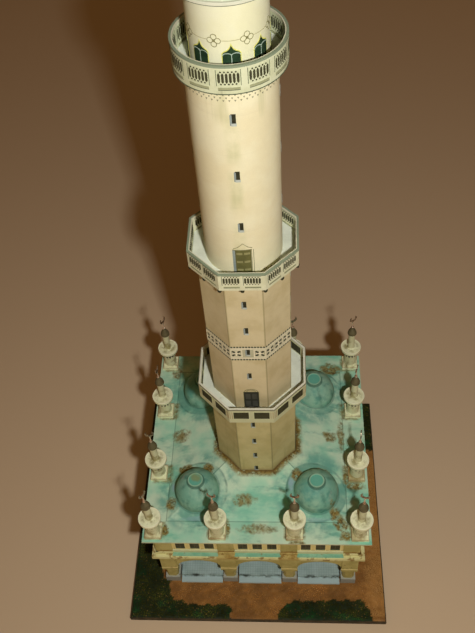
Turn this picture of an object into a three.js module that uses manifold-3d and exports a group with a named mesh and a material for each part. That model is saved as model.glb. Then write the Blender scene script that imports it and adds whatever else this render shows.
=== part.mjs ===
// Card model of a minaret on its display board.
// Millimetres, +Z up. The origin is on the tower's axis at the underside of the board, and -Y is the front.
import * as THREE from "three";
import { mergeVertices } from "three/addons/utils/BufferGeometryUtils.js";
import Module from "manifold-3d";

const wasm = await Module();
wasm.setup();

// Driving dimensions of the board and the square base
const BOARD = { left: -70.3, right: 67.6, front: -72.9, back: 64.3, thick: 3 };
const CARD = 1;
const SEAT_GAP = 0.3;
const FLOOR = { half: 49.4, top: 6.3, stepHalf: 52.9, stepTop: 4.4 };
const PIER = { width: 8.4, corner: 48, inner: 16.2, baseWidth: 7.9, baseTop: 8.8 };
const PIER_SHAFT = { width: 6.4, chamfer: 1.2 };
const CAPITAL = { width: 8.6, bottom: 20.6, top: 23.4 };
const ARCH = { halfSpan: 11.4, crown: 31.2, steps: 12 };
const WALL = { face: 51.3, top: 65.2, backing: 41, cardDepth: 1.1 };
const COURSE = { half: 54.75, bottom: 40.9, top: 43.4 };
const CEILING = { bottom: 33.5, top: 34.7 };
const ROOF = { half: 56.5, edge: 66.2, fold: 45.2, rise: 7, riseHalf: 19.8 };

// Driving dimensions of the small domes and the turrets on the roof
const DOME = { place: 30.1, radius: 11.2, centre: 70, capRadius: 3.9, capTop: 81.8, rows: 4, sides: 16 };
const TURRET = { corner: 50.9, inner: 19, plinth: 8.4, plinthTall: 2.4, drum: 3.3, sides: 12 };
const TURRET_GALLERY = { flareFoot: 12.4, flareTop: 14.8, radius: 5.5, top: 16.7 };
const TURRET_SHAFT = { foot: 1.8, head: 1.7, top: 28.7 };
const TURRET_CAP = { radius: 2.4, top: 33.4, bead: 0.8, beadCentre: 34.1, rod: 0.3, sides: 8 };
const TURRET_MOON = { radius: 2.2, thick: 0.6, centre: 40.8 };

// Driving dimensions of the tower, from the floor of the arcade to the tip of the crescent
const OCTAGON_LOW = { apothem: 19.8 };
const OCTAGON_HIGH = { apothem: 17.9 };
const ROUND = { radius: 15 };
const DRUM = { radius: 12.55, top: 327.5 };
const GALLERY_1 = { floor: 129.9, apothem: 24.6, foot: 127.1, rim: 137.5 };
const GALLERY_2 = { floor: 217.5, apothem: 21.1, foot: 215.8, rim: 224.6 };
const GALLERY_3 = { floor: 302.5, radius: 18, foot: 300.8, rim: 310.5 };
const GALLERY_THICK = 1.2;
const BRACKET = { drop: 3.6, thick: 1 };
const EAVE = { radius: 15.8, thick: 1.2 };
const CAP_TOP = 367;
const TIP = 397;
const FINIAL_MOON = { radius: 4.4, thick: 1, neck: 3 };
const ROUND_SIDES = 36;
const CAP_SIDES = 24;
const FINIAL_SIDES = 12;

// The cone of a turret narrows to its bead in a curve: shares of its radius and of its height
const CONE_LINE = [
  [1, 0],
  [0.92, 0.25],
  [0.68, 0.6],
  [0.36, 0.88],
  [0.14, 1],
];

// The bell of the cap: its radius at each share of its height
const BELL_LINE = [
  [14.9, 0],
  [13.3, 0.06],
  [12.3, 0.14],
  [11.6, 0.26],
  [10.6, 0.4],
  [8.6, 0.55],
  [5.6, 0.7],
  [3.2, 0.83],
  [2, 1],
];
const BELL_HOLLOW_FROM = 5;

// The spindle of the finial: its radius at each height over the cap
const SPINDLE_LINE = [
  [1.8, 0],
  [0.9, 3],
  [0.9, 5],
  [2.1, 7.2],
  [0.9, 9.4],
  [0.7, 13],
  [1.5, 14.8],
  [0.7, 16.6],
];
const SPINDLE_END = 0.5;

// A crescent's horns end at this angle over its middle, and its widths are shares of its radius
const CRESCENT = { tipAngle: 0.3 * Math.PI, tipShare: 0.08, waistShare: 0.45, steps: 7 };

// The inner faces of the walls lie in line with the inner faces of the piers
const PIER_FACE = PIER.corner + PIER.width / 2;
const PIER_BACK = PIER.corner - PIER.width / 2;
const PIER_PLACES = [-PIER.corner, -PIER.inner, PIER.inner, PIER.corner];
const OUTER_BAY = (PIER.corner + PIER.inner) / 2;

const PAINT = {
  flock: [0x2f3a22, 0.95, 0],
  slate: [0x7f8f93, 0.8, 0],
  ochre: [0xb49a55, 0.8, 0],
  cream: [0xcdbf93, 0.75, 0],
  copper: [0x6f9f8c, 0.75, 0],
  tan: [0xc2a878, 0.8, 0],
  ivory: [0xd8c99a, 0.75, 0],
  white: [0xc9c8b8, 0.75, 0],
  lead: [0x5a564a, 0.6, 0],
};

const model = new THREE.Group();

function addMesh(name, geometry, paint) {
  const [color, roughness, metalness] = PAINT[paint];
  const material = new THREE.MeshStandardMaterial({ color, roughness, metalness });
  const mesh = new THREE.Mesh(geometry, material);
  mesh.name = name;
  model.add(mesh);
  return mesh;
}

// A closed geometry as a solid that can be joined and cut
function solid(geometry) {
  const bare = geometry.clone();
  bare.deleteAttribute("normal");
  bare.deleteAttribute("uv");
  const merged = mergeVertices(bare, 1e-4);
  return new wasm.Manifold(
    new wasm.Mesh({
      numProp: 3,
      vertProperties: merged.attributes.position.array,
      triVerts: new Uint32Array(merged.index.array),
    }),
  );
}

function geometryOf(body) {
  const mesh = body.getMesh();
  const geometry = new THREE.BufferGeometry();
  geometry.setAttribute("position", new THREE.BufferAttribute(mesh.vertProperties, 3));
  geometry.setIndex(new THREE.BufferAttribute(mesh.triVerts, 1));
  return geometry;
}

function join(parts) {
  return parts.map(solid).reduce((whole, part) => whole.add(part));
}

// A box between two corners
function box(low, high) {
  const size = high.map((value, axis) => value - low[axis]);
  const geometry = new THREE.BoxGeometry(...size);
  geometry.translate(...low.map((value, axis) => value + size[axis] / 2));
  return geometry;
}

// An upright prism over an outline, with an optional hole right through
function prism(outline, bottom, top, hole) {
  const shape = new THREE.Shape(outline);
  if (hole) shape.holes.push(new THREE.Path(hole));
  const geometry = new THREE.ExtrudeGeometry(shape, { depth: top - bottom, bevelEnabled: false });
  geometry.translate(0, 0, bottom);
  return geometry;
}

function square(half) {
  return [
    new THREE.Vector2(-half, -half),
    new THREE.Vector2(half, -half),
    new THREE.Vector2(half, half),
    new THREE.Vector2(-half, half),
  ];
}

// A regular outline given by the distance from its centre to its flat sides, one of which faces the front
function flatSided(sides, apothem) {
  const radius = apothem / Math.cos(Math.PI / sides);
  const points = [];
  for (let i = 0; i < sides; i++) {
    const angle = ((i + 0.5) * 2 * Math.PI) / sides - Math.PI / 2;
    points.push(new THREE.Vector2(radius * Math.cos(angle), radius * Math.sin(angle)));
  }
  return points;
}

// A solid of revolution about Z from [radius, height] pairs
function turned(profile, sides, startAngle = 0) {
  const points = profile.map(([radius, height]) => new THREE.Vector2(radius, height));
  const geometry = new THREE.LatheGeometry(points, sides, startAngle);
  geometry.rotateX(Math.PI / 2);
  return geometry;
}

// The same for four flat sides, from [half width, height] pairs
function foursided(profile) {
  const corners = profile.map(([half, height]) => [half * Math.SQRT2, height]);
  return turned(corners, 4, Math.PI / 4);
}

// Board and floor
function addBoard() {
  const { left, right, front, back, thick } = BOARD;
  addMesh("display_board", box([left, front, 0], [right, back, thick]), "flock");
}

// The floor slab and the lower step lie between the piers, whose feet stand on the board
function addFloor() {
  const slab = prism(square(FLOOR.half), BOARD.thick, FLOOR.top);
  const step = prism(square(FLOOR.stepHalf), BOARD.thick, FLOOR.stepTop);
  let floor = join([slab, step]);
  for (const centre of roundTheSquare(PIER.corner, PIER.inner)) {
    floor = floor.subtract(solid(pierNotch(centre)));
  }
  addMesh("arcade_floor", geometryOf(floor), "slate");
}

// The notch for a pier's foot is open to the outside of the floor
function pierNotch(centre) {
  const reach = PIER.width / 2 + SEAT_GAP;
  const outside = FLOOR.stepHalf + CARD;
  const low = centre.map((value) => (value === -PIER.corner ? -outside : value - reach));
  const high = centre.map((value) => (value === PIER.corner ? outside : value + reach));
  return box([...low, 0], [...high, FLOOR.top + CARD]);
}

// Centres of the twelve places round a square, four to a side
function roundTheSquare(corner, inner) {
  const places = [];
  for (const x of [-corner, -inner, inner, corner]) {
    for (const y of [-corner, -inner, inner, corner]) {
      if (Math.abs(x) === corner || Math.abs(y) === corner) places.push([x, y]);
    }
  }
  return places;
}

// A pier: foot block, chamfered shaft, capital and the square post above it
function pierParts(x, y, postTop) {
  const block = (width, bottom, top) =>
    box([x - width / 2, y - width / 2, bottom], [x + width / 2, y + width / 2, top]);
  const half = PIER_SHAFT.width / 2;
  const flat = half - PIER_SHAFT.chamfer;
  const outline = [
    [flat, -half],
    [half, -flat],
    [half, flat],
    [flat, half],
    [-flat, half],
    [-half, flat],
    [-half, -flat],
    [-flat, -half],
  ].map(([u, v]) => new THREE.Vector2(x + u, y + v));
  return [
    block(PIER.baseWidth, BOARD.thick, PIER.baseTop),
    prism(outline, PIER.baseTop - CARD, CAPITAL.bottom + CARD),
    block(CAPITAL.width, CAPITAL.bottom, CAPITAL.top),
    block(PIER.width, CAPITAL.top - CARD, postTop),
  ];
}

// The wall above the piers of one side, with its three low arches cut out of the lower edge
function archBand(halfLength) {
  const shape = new THREE.Shape();
  shape.moveTo(-halfLength, CAPITAL.top);
  for (const centre of [-OUTER_BAY, 0, OUTER_BAY]) {
    for (let i = 0; i <= ARCH.steps; i++) {
      const angle = Math.PI * (1 - i / ARCH.steps);
      const x = centre + ARCH.halfSpan * Math.cos(angle);
      const z = CAPITAL.top + (ARCH.crown - CAPITAL.top) * Math.sin(angle);
      shape.lineTo(x, z);
    }
  }
  shape.lineTo(halfLength, CAPITAL.top);
  shape.lineTo(halfLength, WALL.backing);
  shape.lineTo(-halfLength, WALL.backing);
  const depth = WALL.face - PIER_BACK;
  const band = new THREE.ExtrudeGeometry(shape, { depth, bevelEnabled: false });
  band.rotateX(Math.PI / 2);
  band.translate(0, -PIER_BACK, 0);
  return band;
}

// One side of the base seen from the front, before it is turned into place
function wallGeometry(withCorners) {
  const halfLength = withCorners ? PIER.corner : PIER_BACK;
  const back = -(WALL.face - WALL.cardDepth);
  const parts = [archBand(halfLength)];
  parts.push(box([-halfLength, -WALL.face, WALL.backing - CARD], [halfLength, back, WALL.top]));
  parts.push(box([-halfLength, -PIER_FACE, COURSE.bottom], [halfLength, back, COURSE.top]));
  for (const x of PIER_PLACES) {
    const isCorner = Math.abs(x) === PIER.corner;
    if (isCorner && !withCorners) continue;
    parts.push(...pierParts(x, -PIER.corner, isCorner ? WALL.top : WALL.backing));
    if (!isCorner) {
      const half = PIER.width / 2;
      parts.push(box([x - half, -PIER_FACE, WALL.backing - CARD], [x + half, back, WALL.top]));
    }
  }
  return geometryOf(join(parts));
}

function addWalls() {
  const sides = [
    ["front_wall", 0, true],
    ["right_wall", 1, false],
    ["back_wall", 2, true],
    ["left_wall", 3, false],
  ];
  for (const [name, quarter, withCorners] of sides) {
    const wall = addMesh(name, wallGeometry(withCorners), "ochre");
    wall.rotation.z = (quarter * Math.PI) / 2;
  }
}

function addBaseTrim() {
  const course = prism(square(COURSE.half), COURSE.bottom, COURSE.top, square(PIER_FACE + SEAT_GAP / 2));
  addMesh("string_course", course, "cream");
  const hole = flatSided(8, OCTAGON_LOW.apothem + SEAT_GAP);
  const ceiling = prism(square(PIER_BACK - SEAT_GAP / 2), CEILING.bottom, CEILING.top, hole);
  addMesh("arcade_ceiling", ceiling, "cream");
}

// Height of the roof's top face at a distance from the axis, along the nearer side
function roofHeight(half) {
  const slope = ROOF.rise / (ROOF.fold - ROOF.riseHalf);
  return ROOF.edge + Math.max(0, ROOF.fold - half) * slope;
}

function addRoof() {
  // The plate's square hole lies inside the octagon that is then cut for the tower
  const inside = OCTAGON_LOW.apothem / Math.SQRT2 - CARD;
  const plate = foursided([
    [inside, roofHeight(inside) - CARD],
    [ROOF.fold, ROOF.edge - CARD],
    [ROOF.half, ROOF.edge - CARD],
    [ROOF.half, ROOF.edge],
    [ROOF.fold, ROOF.edge],
    [inside, roofHeight(inside)],
    [inside, roofHeight(inside) - CARD],
  ]);
  const shaft = solid(prism(flatSided(8, OCTAGON_LOW.apothem + SEAT_GAP), 0, GALLERY_1.foot));
  addMesh("roof", geometryOf(solid(plate).subtract(shaft)), "copper");
}

// A low dome of flat gores with a small flat cap, cut at its foot along the slope of the roof
function domeGeometry(x, y) {
  const foot = ROOF.edge - 3 * CARD;
  const arc = (radius) => {
    const from = Math.asin((foot - DOME.centre) / radius);
    const to = Math.acos(DOME.capRadius / DOME.radius);
    const points = [];
    for (let i = 0; i <= DOME.rows; i++) {
      const angle = from + ((to - from) * i) / DOME.rows;
      points.push([radius * Math.cos(angle), DOME.centre + radius * Math.sin(angle)]);
    }
    return points;
  };
  const outer = arc(DOME.radius);
  const inner = arc(DOME.radius - CARD).reverse();
  const neck = outer[outer.length - 1][1];
  const shell = turned(
    [...outer, [DOME.capRadius, DOME.capTop], [0, DOME.capTop], [0, neck - CARD], ...inner, outer[0]],
    DOME.sides,
    Math.PI / DOME.sides,
  );
  shell.translate(x, y, 0);
  const roofSolid = foursided([
    [0, 0],
    [ROOF.half, 0],
    [ROOF.half, ROOF.edge + SEAT_GAP],
    [ROOF.fold, ROOF.edge + SEAT_GAP],
    [0, roofHeight(0) + SEAT_GAP],
  ]);
  return geometryOf(solid(shell).subtract(solid(roofSolid)));
}

function addDomes() {
  for (const [row, y] of [["front", -DOME.place], ["back", DOME.place]]) {
    for (const [side, x] of [["left", -DOME.place], ["right", DOME.place]]) {
      addMesh(`dome_${row}_${side}`, domeGeometry(x, y), "copper");
    }
  }
}

// A turret stands on the roof's edge strip: plinth, round drum, flared gallery and slim shaft
function turretGeometry() {
  const half = TURRET.plinth / 2;
  const plinth = box([-half, -half, 0], [half, half, TURRET.plinthTall]);
  const seat = TURRET.plinthTall - CARD;
  const body = turned(
    [
      [0, seat],
      [TURRET.drum, seat],
      [TURRET.drum, TURRET_GALLERY.flareFoot],
      [TURRET_GALLERY.radius, TURRET_GALLERY.flareTop],
      [TURRET_GALLERY.radius, TURRET_GALLERY.top],
      [TURRET_SHAFT.foot, TURRET_GALLERY.top],
      [TURRET_SHAFT.head, TURRET_SHAFT.top],
      [0, TURRET_SHAFT.top],
    ],
    TURRET.sides,
  );
  return geometryOf(join([plinth, body]));
}

// A crescent that opens upwards, its plane facing the front, with its centre at the given height
function crescent(radius, thick, centre) {
  const { tipAngle, steps } = CRESCENT;
  const tipWidth = radius * CRESCENT.tipShare;
  const waist = radius * CRESCENT.waistShare;
  const tipX = radius * Math.cos(tipAngle);
  const tipY = radius * Math.sin(tipAngle);
  // The inner circle passes through both horn tips and leaves the waist at the bottom
  const hollow = radius - waist;
  const reach = (tipX - tipWidth) ** 2 + tipY ** 2 - hollow ** 2;
  const shift = reach / (2 * (hollow + tipY));
  const innerRadius = hollow + shift;
  const innerAngle = Math.atan2(tipY - shift, tipX - tipWidth);
  const points = [];
  for (let i = 0; i <= steps; i++) {
    const angle = Math.PI - tipAngle + ((Math.PI + 2 * tipAngle) * i) / steps;
    points.push(new THREE.Vector2(radius * Math.cos(angle), radius * Math.sin(angle)));
  }
  for (let i = 0; i <= steps; i++) {
    const angle = innerAngle - ((Math.PI + 2 * innerAngle) * i) / steps;
    const y = shift + innerRadius * Math.sin(angle);
    points.push(new THREE.Vector2(innerRadius * Math.cos(angle), y));
  }
  const plate = new THREE.ExtrudeGeometry(new THREE.Shape(points), { depth: thick, bevelEnabled: false });
  plate.rotateX(Math.PI / 2);
  plate.translate(0, thick / 2, centre);
  return plate;
}

// The cap of a turret: a curved cone, a bead, a thin rod and a crescent
function turretCapGeometry() {
  const { radius, top, bead, beadCentre, rod, sides } = TURRET_CAP;
  const foot = TURRET_SHAFT.top;
  const moon = TURRET_MOON;
  const rodTop = moon.centre - moon.radius * (1 - CRESCENT.waistShare / 2);
  const cone = CONE_LINE.map(([across, up]) => [radius * across, foot + up * (top - foot)]);
  const line = [
    [0, foot],
    ...cone,
    [bead, beadCentre],
    [rod, beadCentre + bead],
    [rod, rodTop],
    [0, rodTop],
  ];
  return geometryOf(join([turned(line, sides), crescent(moon.radius, moon.thick, moon.centre)]));
}

function addTurrets() {
  const places = roundTheSquare(TURRET.corner, TURRET.inner);
  places.forEach(([x, y], i) => {
    const number = String(i + 1).padStart(2, "0");
    const turret = addMesh(`turret_${number}`, turretGeometry(), "ivory");
    turret.position.set(x, y, ROOF.edge);
    const cap = addMesh(`turret_cap_${number}`, turretCapGeometry(), "lead");
    cap.position.set(x, y, ROOF.edge);
  });
}

// One storey of the tower as an open tube of card
function tube(sides, apothem, bottom, top) {
  return prism(flatSided(sides, apothem), bottom, top, flatSided(sides, apothem - CARD));
}

// A triangular bracket under a gallery floor, from the shaft's face to the floor's edge
function bracket(from, to, under, angle) {
  const shape = new THREE.Shape([
    new THREE.Vector2(from, under + CARD / 2),
    new THREE.Vector2(from, under - BRACKET.drop),
    new THREE.Vector2(to, under - CARD / 2),
    new THREE.Vector2(to, under + CARD / 2),
  ]);
  const plate = new THREE.ExtrudeGeometry(shape, { depth: BRACKET.thick, bevelEnabled: false });
  plate.rotateX(Math.PI / 2);
  plate.translate(0, BRACKET.thick / 2, 0);
  plate.rotateZ(angle);
  return plate;
}

// An eight-sided gallery floor with brackets at its corners, and at the middles of its sides if asked
function bracketedFloor(apothem, floor, shaftApothem, withMiddles) {
  const under = floor - GALLERY_THICK;
  const edge = apothem - CARD - SEAT_GAP / 2;
  const inside = shaftApothem + SEAT_GAP;
  const parts = [prism(flatSided(8, edge), under, floor)];
  for (let side = 0; side < 8; side++) {
    const middle = (side * Math.PI) / 4;
    const toCorner = 1 / Math.cos(Math.PI / 8);
    parts.push(bracket(inside * toCorner, edge * toCorner - SEAT_GAP, under, middle + Math.PI / 8));
    if (withMiddles) parts.push(bracket(inside, edge - SEAT_GAP, under, middle));
  }
  return geometryOf(join(parts));
}

function addTower() {
  const underFloor = (gallery) => gallery.floor - GALLERY_THICK;
  addMesh("tower_shaft_lower", tube(8, OCTAGON_LOW.apothem, FLOOR.top, underFloor(GALLERY_1)), "tan");
  addMesh("tower_shaft_middle", tube(8, OCTAGON_HIGH.apothem, GALLERY_1.floor, underFloor(GALLERY_2)), "tan");
  addMesh("tower_shaft_upper", tube(ROUND_SIDES, ROUND.radius, GALLERY_2.floor, underFloor(GALLERY_3)), "ivory");
  addMesh("lantern_drum", tube(ROUND_SIDES, DRUM.radius, GALLERY_3.floor, DRUM.top), "ivory");
}

function addGalleries() {
  const parapet = (sides, apothem, gallery) =>
    prism(flatSided(sides, apothem), gallery.foot, gallery.rim, flatSided(sides, apothem - CARD));
  const first = GALLERY_1.apothem;
  const second = GALLERY_2.apothem;
  const third = GALLERY_3.radius;
  const roundFloor = flatSided(ROUND_SIDES, third - CARD - SEAT_GAP / 2);
  const firstFloor = bracketedFloor(first, GALLERY_1.floor, OCTAGON_LOW.apothem, false);
  addMesh("gallery_1_floor", firstFloor, "white");
  addMesh("gallery_1_parapet", parapet(8, first, GALLERY_1), "cream");
  const secondFloor = bracketedFloor(second, GALLERY_2.floor, OCTAGON_HIGH.apothem, true);
  addMesh("gallery_2_floor", secondFloor, "white");
  addMesh("gallery_2_parapet", parapet(8, second, GALLERY_2), "cream");
  const thirdFloor = prism(roundFloor, GALLERY_3.floor - GALLERY_THICK, GALLERY_3.floor);
  addMesh("gallery_3_floor", thirdFloor, "white");
  addMesh("gallery_3_parapet", parapet(ROUND_SIDES, third, GALLERY_3), "cream");
}

// The overhanging eave, the bell-shaped cap and its finial
function addCap() {
  const foot = DRUM.top + EAVE.thick;
  const eave = prism(flatSided(ROUND_SIDES, EAVE.radius), DRUM.top, foot);
  addMesh("cap_eave", eave, "copper");
  const tall = CAP_TOP - foot;
  const outer = BELL_LINE.map(([radius, share]) => [radius, foot + share * tall]);
  const hollow = BELL_LINE.filter(([radius], i) => i % 2 === 0 && radius > BELL_HOLLOW_FROM);
  const inner = hollow.map(([radius, share]) => [radius - CARD, foot + share * tall]).reverse();
  const shell = [...outer, [0, CAP_TOP], [0, inner[0][1] + CARD], ...inner, outer[0]];
  addMesh("cap_bell", turned(shell, CAP_SIDES), "copper");
  const moonCentre = TIP - FINIAL_MOON.radius;
  const neck = moonCentre - FINIAL_MOON.neck;
  const spindle = SPINDLE_LINE.map(([radius, up]) => [radius, CAP_TOP + up]);
  const line = [[0, CAP_TOP], ...spindle, [SPINDLE_END, neck], [0, neck]];
  const moon = crescent(FINIAL_MOON.radius, FINIAL_MOON.thick, moonCentre);
  addMesh("cap_finial", geometryOf(join([turned(line, FINIAL_SIDES), moon])), "lead");
}

addBoard();
addFloor();
addWalls();
addBaseTrim();
addRoof();
addDomes();
addTurrets();
addTower();
addGalleries();
addCap();

export default model;
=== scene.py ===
# %% [markdown]
# # A printed card model of a minaret
# The real object is folded and glued from printed card and stands on a small board with flock and grit.
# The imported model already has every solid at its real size, so this lesson gives it its surfaces: the
# print, the weathering, the small glued-on parts and the coating of the board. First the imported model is
# loaded as a fixed frame, and every later piece is placed from the sizes of its nodes.

import math

import bpy
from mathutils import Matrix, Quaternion, Vector


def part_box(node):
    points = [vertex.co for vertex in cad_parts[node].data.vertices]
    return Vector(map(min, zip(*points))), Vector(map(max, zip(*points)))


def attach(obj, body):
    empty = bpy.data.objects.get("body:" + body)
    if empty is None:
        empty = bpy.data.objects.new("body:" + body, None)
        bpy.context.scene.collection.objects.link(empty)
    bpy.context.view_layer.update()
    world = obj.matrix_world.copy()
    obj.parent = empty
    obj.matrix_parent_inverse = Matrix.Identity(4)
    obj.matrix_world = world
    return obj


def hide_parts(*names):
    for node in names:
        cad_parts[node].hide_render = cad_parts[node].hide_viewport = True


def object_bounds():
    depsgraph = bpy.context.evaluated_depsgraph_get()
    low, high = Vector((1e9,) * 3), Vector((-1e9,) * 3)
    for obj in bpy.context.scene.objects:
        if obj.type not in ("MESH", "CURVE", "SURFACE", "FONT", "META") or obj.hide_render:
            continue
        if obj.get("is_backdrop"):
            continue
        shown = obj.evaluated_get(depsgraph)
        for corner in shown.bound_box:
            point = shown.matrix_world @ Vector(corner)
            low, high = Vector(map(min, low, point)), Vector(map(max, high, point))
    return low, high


MM = 0.001
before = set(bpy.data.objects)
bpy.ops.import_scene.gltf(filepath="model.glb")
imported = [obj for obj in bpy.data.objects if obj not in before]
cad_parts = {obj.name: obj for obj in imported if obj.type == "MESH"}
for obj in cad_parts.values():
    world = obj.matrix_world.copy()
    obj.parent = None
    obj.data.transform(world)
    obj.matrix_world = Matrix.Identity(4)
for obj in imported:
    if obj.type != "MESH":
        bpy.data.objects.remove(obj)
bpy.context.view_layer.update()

# %% [markdown]
# The camera stands in front of the model, well above it, and looks down at about 51 degrees. Its place,
# turn and lens were worked out from the photograph with a pinhole camera. A camera could also be aimed
# with a constraint, but plain numbers keep the small roll of a camera held by hand. The Standard view
# shows the colours of a print as they were chosen, where the usual view would fade them.

# %% Camera
PHOTO_HEIGHT, FOCAL_PIXELS, SENSOR = 633, 811.85, 36.0
CAMERA_PLACE = (0.017974, -0.216996, 0.446180)
AZIMUTH, DOWN, ROLL = (math.radians(angle) for angle in (-6.026, 51.300, -5.120))


def in_the_scene(name, data):
    """A new object for a mesh, a camera or a light."""
    thing = bpy.data.objects.new(name, data)
    bpy.context.scene.collection.objects.link(thing)
    return thing


def look_along(thing, aim, roll=0.0):
    """Turns a camera or a light to look along a direction."""
    thing.rotation_mode = "QUATERNION"
    thing.rotation_quaternion = aim.to_track_quat("-Z", "Y") @ Quaternion((0, 0, 1), roll)


lens = bpy.data.cameras.new("view_of_the_photo")
lens.sensor_width = SENSOR
lens.lens = FOCAL_PIXELS * SENSOR / PHOTO_HEIGHT
lens.clip_start = 0.01
camera = in_the_scene("view_of_the_photo", lens)
camera.location = CAMERA_PLACE
level = math.cos(DOWN)
look_along(camera, Vector((math.sin(AZIMUTH) * level, math.cos(AZIMUTH) * level, -math.sin(DOWN))), ROLL)
bpy.context.scene.camera = camera
bpy.context.scene.view_settings.view_transform = "Standard"
print("lens in mm:", round(lens.lens, 2))

# %% [markdown]
# Node trees are built by hand below, so a few short helpers keep them readable: one places a node and
# fills its inputs, and the others make the kinds that are used most. A value may be a number, a colour
# or the output of another node.

# %% Helpers for node trees
def feed(tree, socket, value):
    """Links a node's output to the socket, or writes a plain value into it."""
    if isinstance(value, bpy.types.NodeSocket):
        tree.links.new(value, socket)
    else:
        socket.default_value = value


def put(tree, kind, inputs=None, **settings):
    node = tree.nodes.new(kind)
    for key, value in settings.items():
        setattr(node, key, value)
    for key, value in (inputs or {}).items():
        feed(tree, node.inputs[key], value)
    return node


def calc(tree, operation, *values):
    return put(tree, "ShaderNodeMath", dict(enumerate(values)), operation=operation).outputs[0]


def calc_vector(tree, operation, first, second):
    return put(tree, "ShaderNodeVectorMath", {0: first, 1: second}, operation=operation).outputs[0]


def vector(tree, x=0.0, y=0.0, z=0.0):
    return put(tree, "ShaderNodeCombineXYZ", {0: x, 1: y, 2: z}).outputs[0]


def axes_of(tree, value):
    """The outputs X, Y and Z of a vector."""
    return put(tree, "ShaderNodeSeparateXYZ", {0: value}).outputs


def blend_colours(tree, factor, first, second):
    node = put(tree, "ShaderNodeMix", data_type="RGBA")
    for index, value in ((0, factor), (6, first), (7, second)):
        feed(tree, node.inputs[index], value)
    return node.outputs[2]


def between(tree, value, low, high, first=0.0, last=1.0):
    """Goes smoothly from first to last while the value goes from low to high."""
    inputs = {"Value": value, "From Min": low, "From Max": high, "To Min": first, "To Max": last}
    node = put(tree, "ShaderNodeMapRange", inputs, interpolation_type="SMOOTHSTEP")
    return node.outputs["Result"]


def colour(hex_code):
    """A linear colour from a screen colour such as b49a55."""
    channels = [int(hex_code[i : i + 2], 16) / 255 for i in (0, 2, 4)]
    return tuple(c / 12.92 if c <= 0.04045 else ((c + 0.055) / 1.055) ** 2.4 for c in channels) + (1.0,)


print("a mid grey in linear light:", [round(c, 3) for c in colour("808080")[:3]])

# %% [markdown]
# Effects that several materials share are shader groups. The first is the card itself: print is never
# quite even, so a second tone lies over the ink in soft patches, and the fibres of the card give a fine
# grain in the colour and in the height. All of it is measured on Object coordinates, because the pieces
# lie in one frame and the pattern then runs on from piece to piece.

# %% The group of printed card
FLOAT, COLOUR, MID_GREY = "NodeSocketFloat", "NodeSocketColor", (0.5, 0.5, 0.5, 1)
FIBRE_SCALE, CLOUD_SCALE, FIBRE_SHARE, GRAIN_GAIN = 2600.0, 420.0, 0.6, 4.0
TONE_FROM, TONE_TO, LEAST_ROUGH, MOST_ROUGH = 0.38, 0.66, 0.62, 0.82


def shader_group(name, inputs, outputs):
    """A group with its inputs, which are given as values, and its outputs, which are given as names."""
    group = bpy.data.node_groups.new(name, "ShaderNodeTree")
    for label, value in inputs.items():
        kind = COLOUR if isinstance(value, tuple) else FLOAT
        group.interface.new_socket(label, in_out="INPUT", socket_type=kind).default_value = value
    for label in outputs:
        kind = COLOUR if label == "Color" else FLOAT
        group.interface.new_socket(label, in_out="OUTPUT", socket_type=kind)
    return group, group.nodes.new("NodeGroupInput").outputs, group.nodes.new("NodeGroupOutput").inputs


def noise(tree, scale, place, detail=2.0, roughness=0.5):
    inputs = {"Vector": place, "Scale": scale, "Detail": detail, "Roughness": roughness}
    return put(tree, "ShaderNodeTexNoise", inputs).outputs[0]


def here(tree):
    return tree.nodes.new("ShaderNodeTexCoord").outputs["Object"]


printed_card, start, end = shader_group(
    "printed_card",
    {"Ink": MID_GREY, "Second Tone": MID_GREY, "Patches": 0.5, "Patch Scale": 120.0, "Grain": 0.06},
    ["Color", "Roughness", "Height"])
broad = noise(printed_card, start["Patch Scale"], here(printed_card), 3.0, 0.6)
patch = calc(printed_card, "MULTIPLY", between(printed_card, broad, TONE_FROM, TONE_TO), start["Patches"])
tone = blend_colours(printed_card, patch, start["Ink"], start["Second Tone"])
fibre = calc(printed_card, "MULTIPLY", noise(printed_card, FIBRE_SCALE, here(printed_card)), FIBRE_SHARE)
cloud = noise(printed_card, CLOUD_SCALE, here(printed_card))
shade = calc(printed_card, "MULTIPLY_ADD", cloud, 1 - FIBRE_SHARE, fibre)
swing = calc(printed_card, "MULTIPLY", calc(printed_card, "SUBTRACT", shade, 0.5), start["Grain"])
bright = calc(printed_card, "MULTIPLY_ADD", swing, GRAIN_GAIN, 1.0)
inked = put(printed_card, "ShaderNodeHueSaturation", {"Value": bright, "Color": tone}).outputs[0]
feed(printed_card, end["Color"], inked)
feed(printed_card, end["Roughness"], between(printed_card, cloud, 0.3, 0.7, LEAST_ROUGH, MOST_ROUGH))
feed(printed_card, end["Height"], shade)
print("group:", printed_card.name)

# %% [markdown]
# The next groups are masks. Rain draws narrow streaks down a wall, which is noise stretched along Z, and
# fine level lines of painted shade, which stand for creases in rolled card, are the same noise stretched
# along X and Y. A stain is noise with a threshold, soft for a wash of colour and hard for rust, and it can
# be stretched along X like the stroke of a brush. A band between two heights limits either of them to a
# foot or a rim.

# %% Groups of masks
STREAK_SOFTNESS, RAGGED_SCALE = 0.25, 700.0
streaks, start, end = shader_group(
    "long_streaks", {"Width Scale": 500.0, "Cover": 0.5, "Level": 1.0, "Upright": 0.07}, ["Mask"])
squeeze = vector(streaks, start["Level"], start["Level"], start["Upright"])
squeezed = calc_vector(streaks, "MULTIPLY", here(streaks), squeeze)
lines = noise(streaks, start["Width Scale"], squeezed, 3.0, 0.65)
edge = calc(streaks, "SUBTRACT", 1.0, start["Cover"])
feed(streaks, end["Mask"], between(streaks, lines, edge, calc(streaks, "ADD", edge, STREAK_SOFTNESS)))

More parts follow.
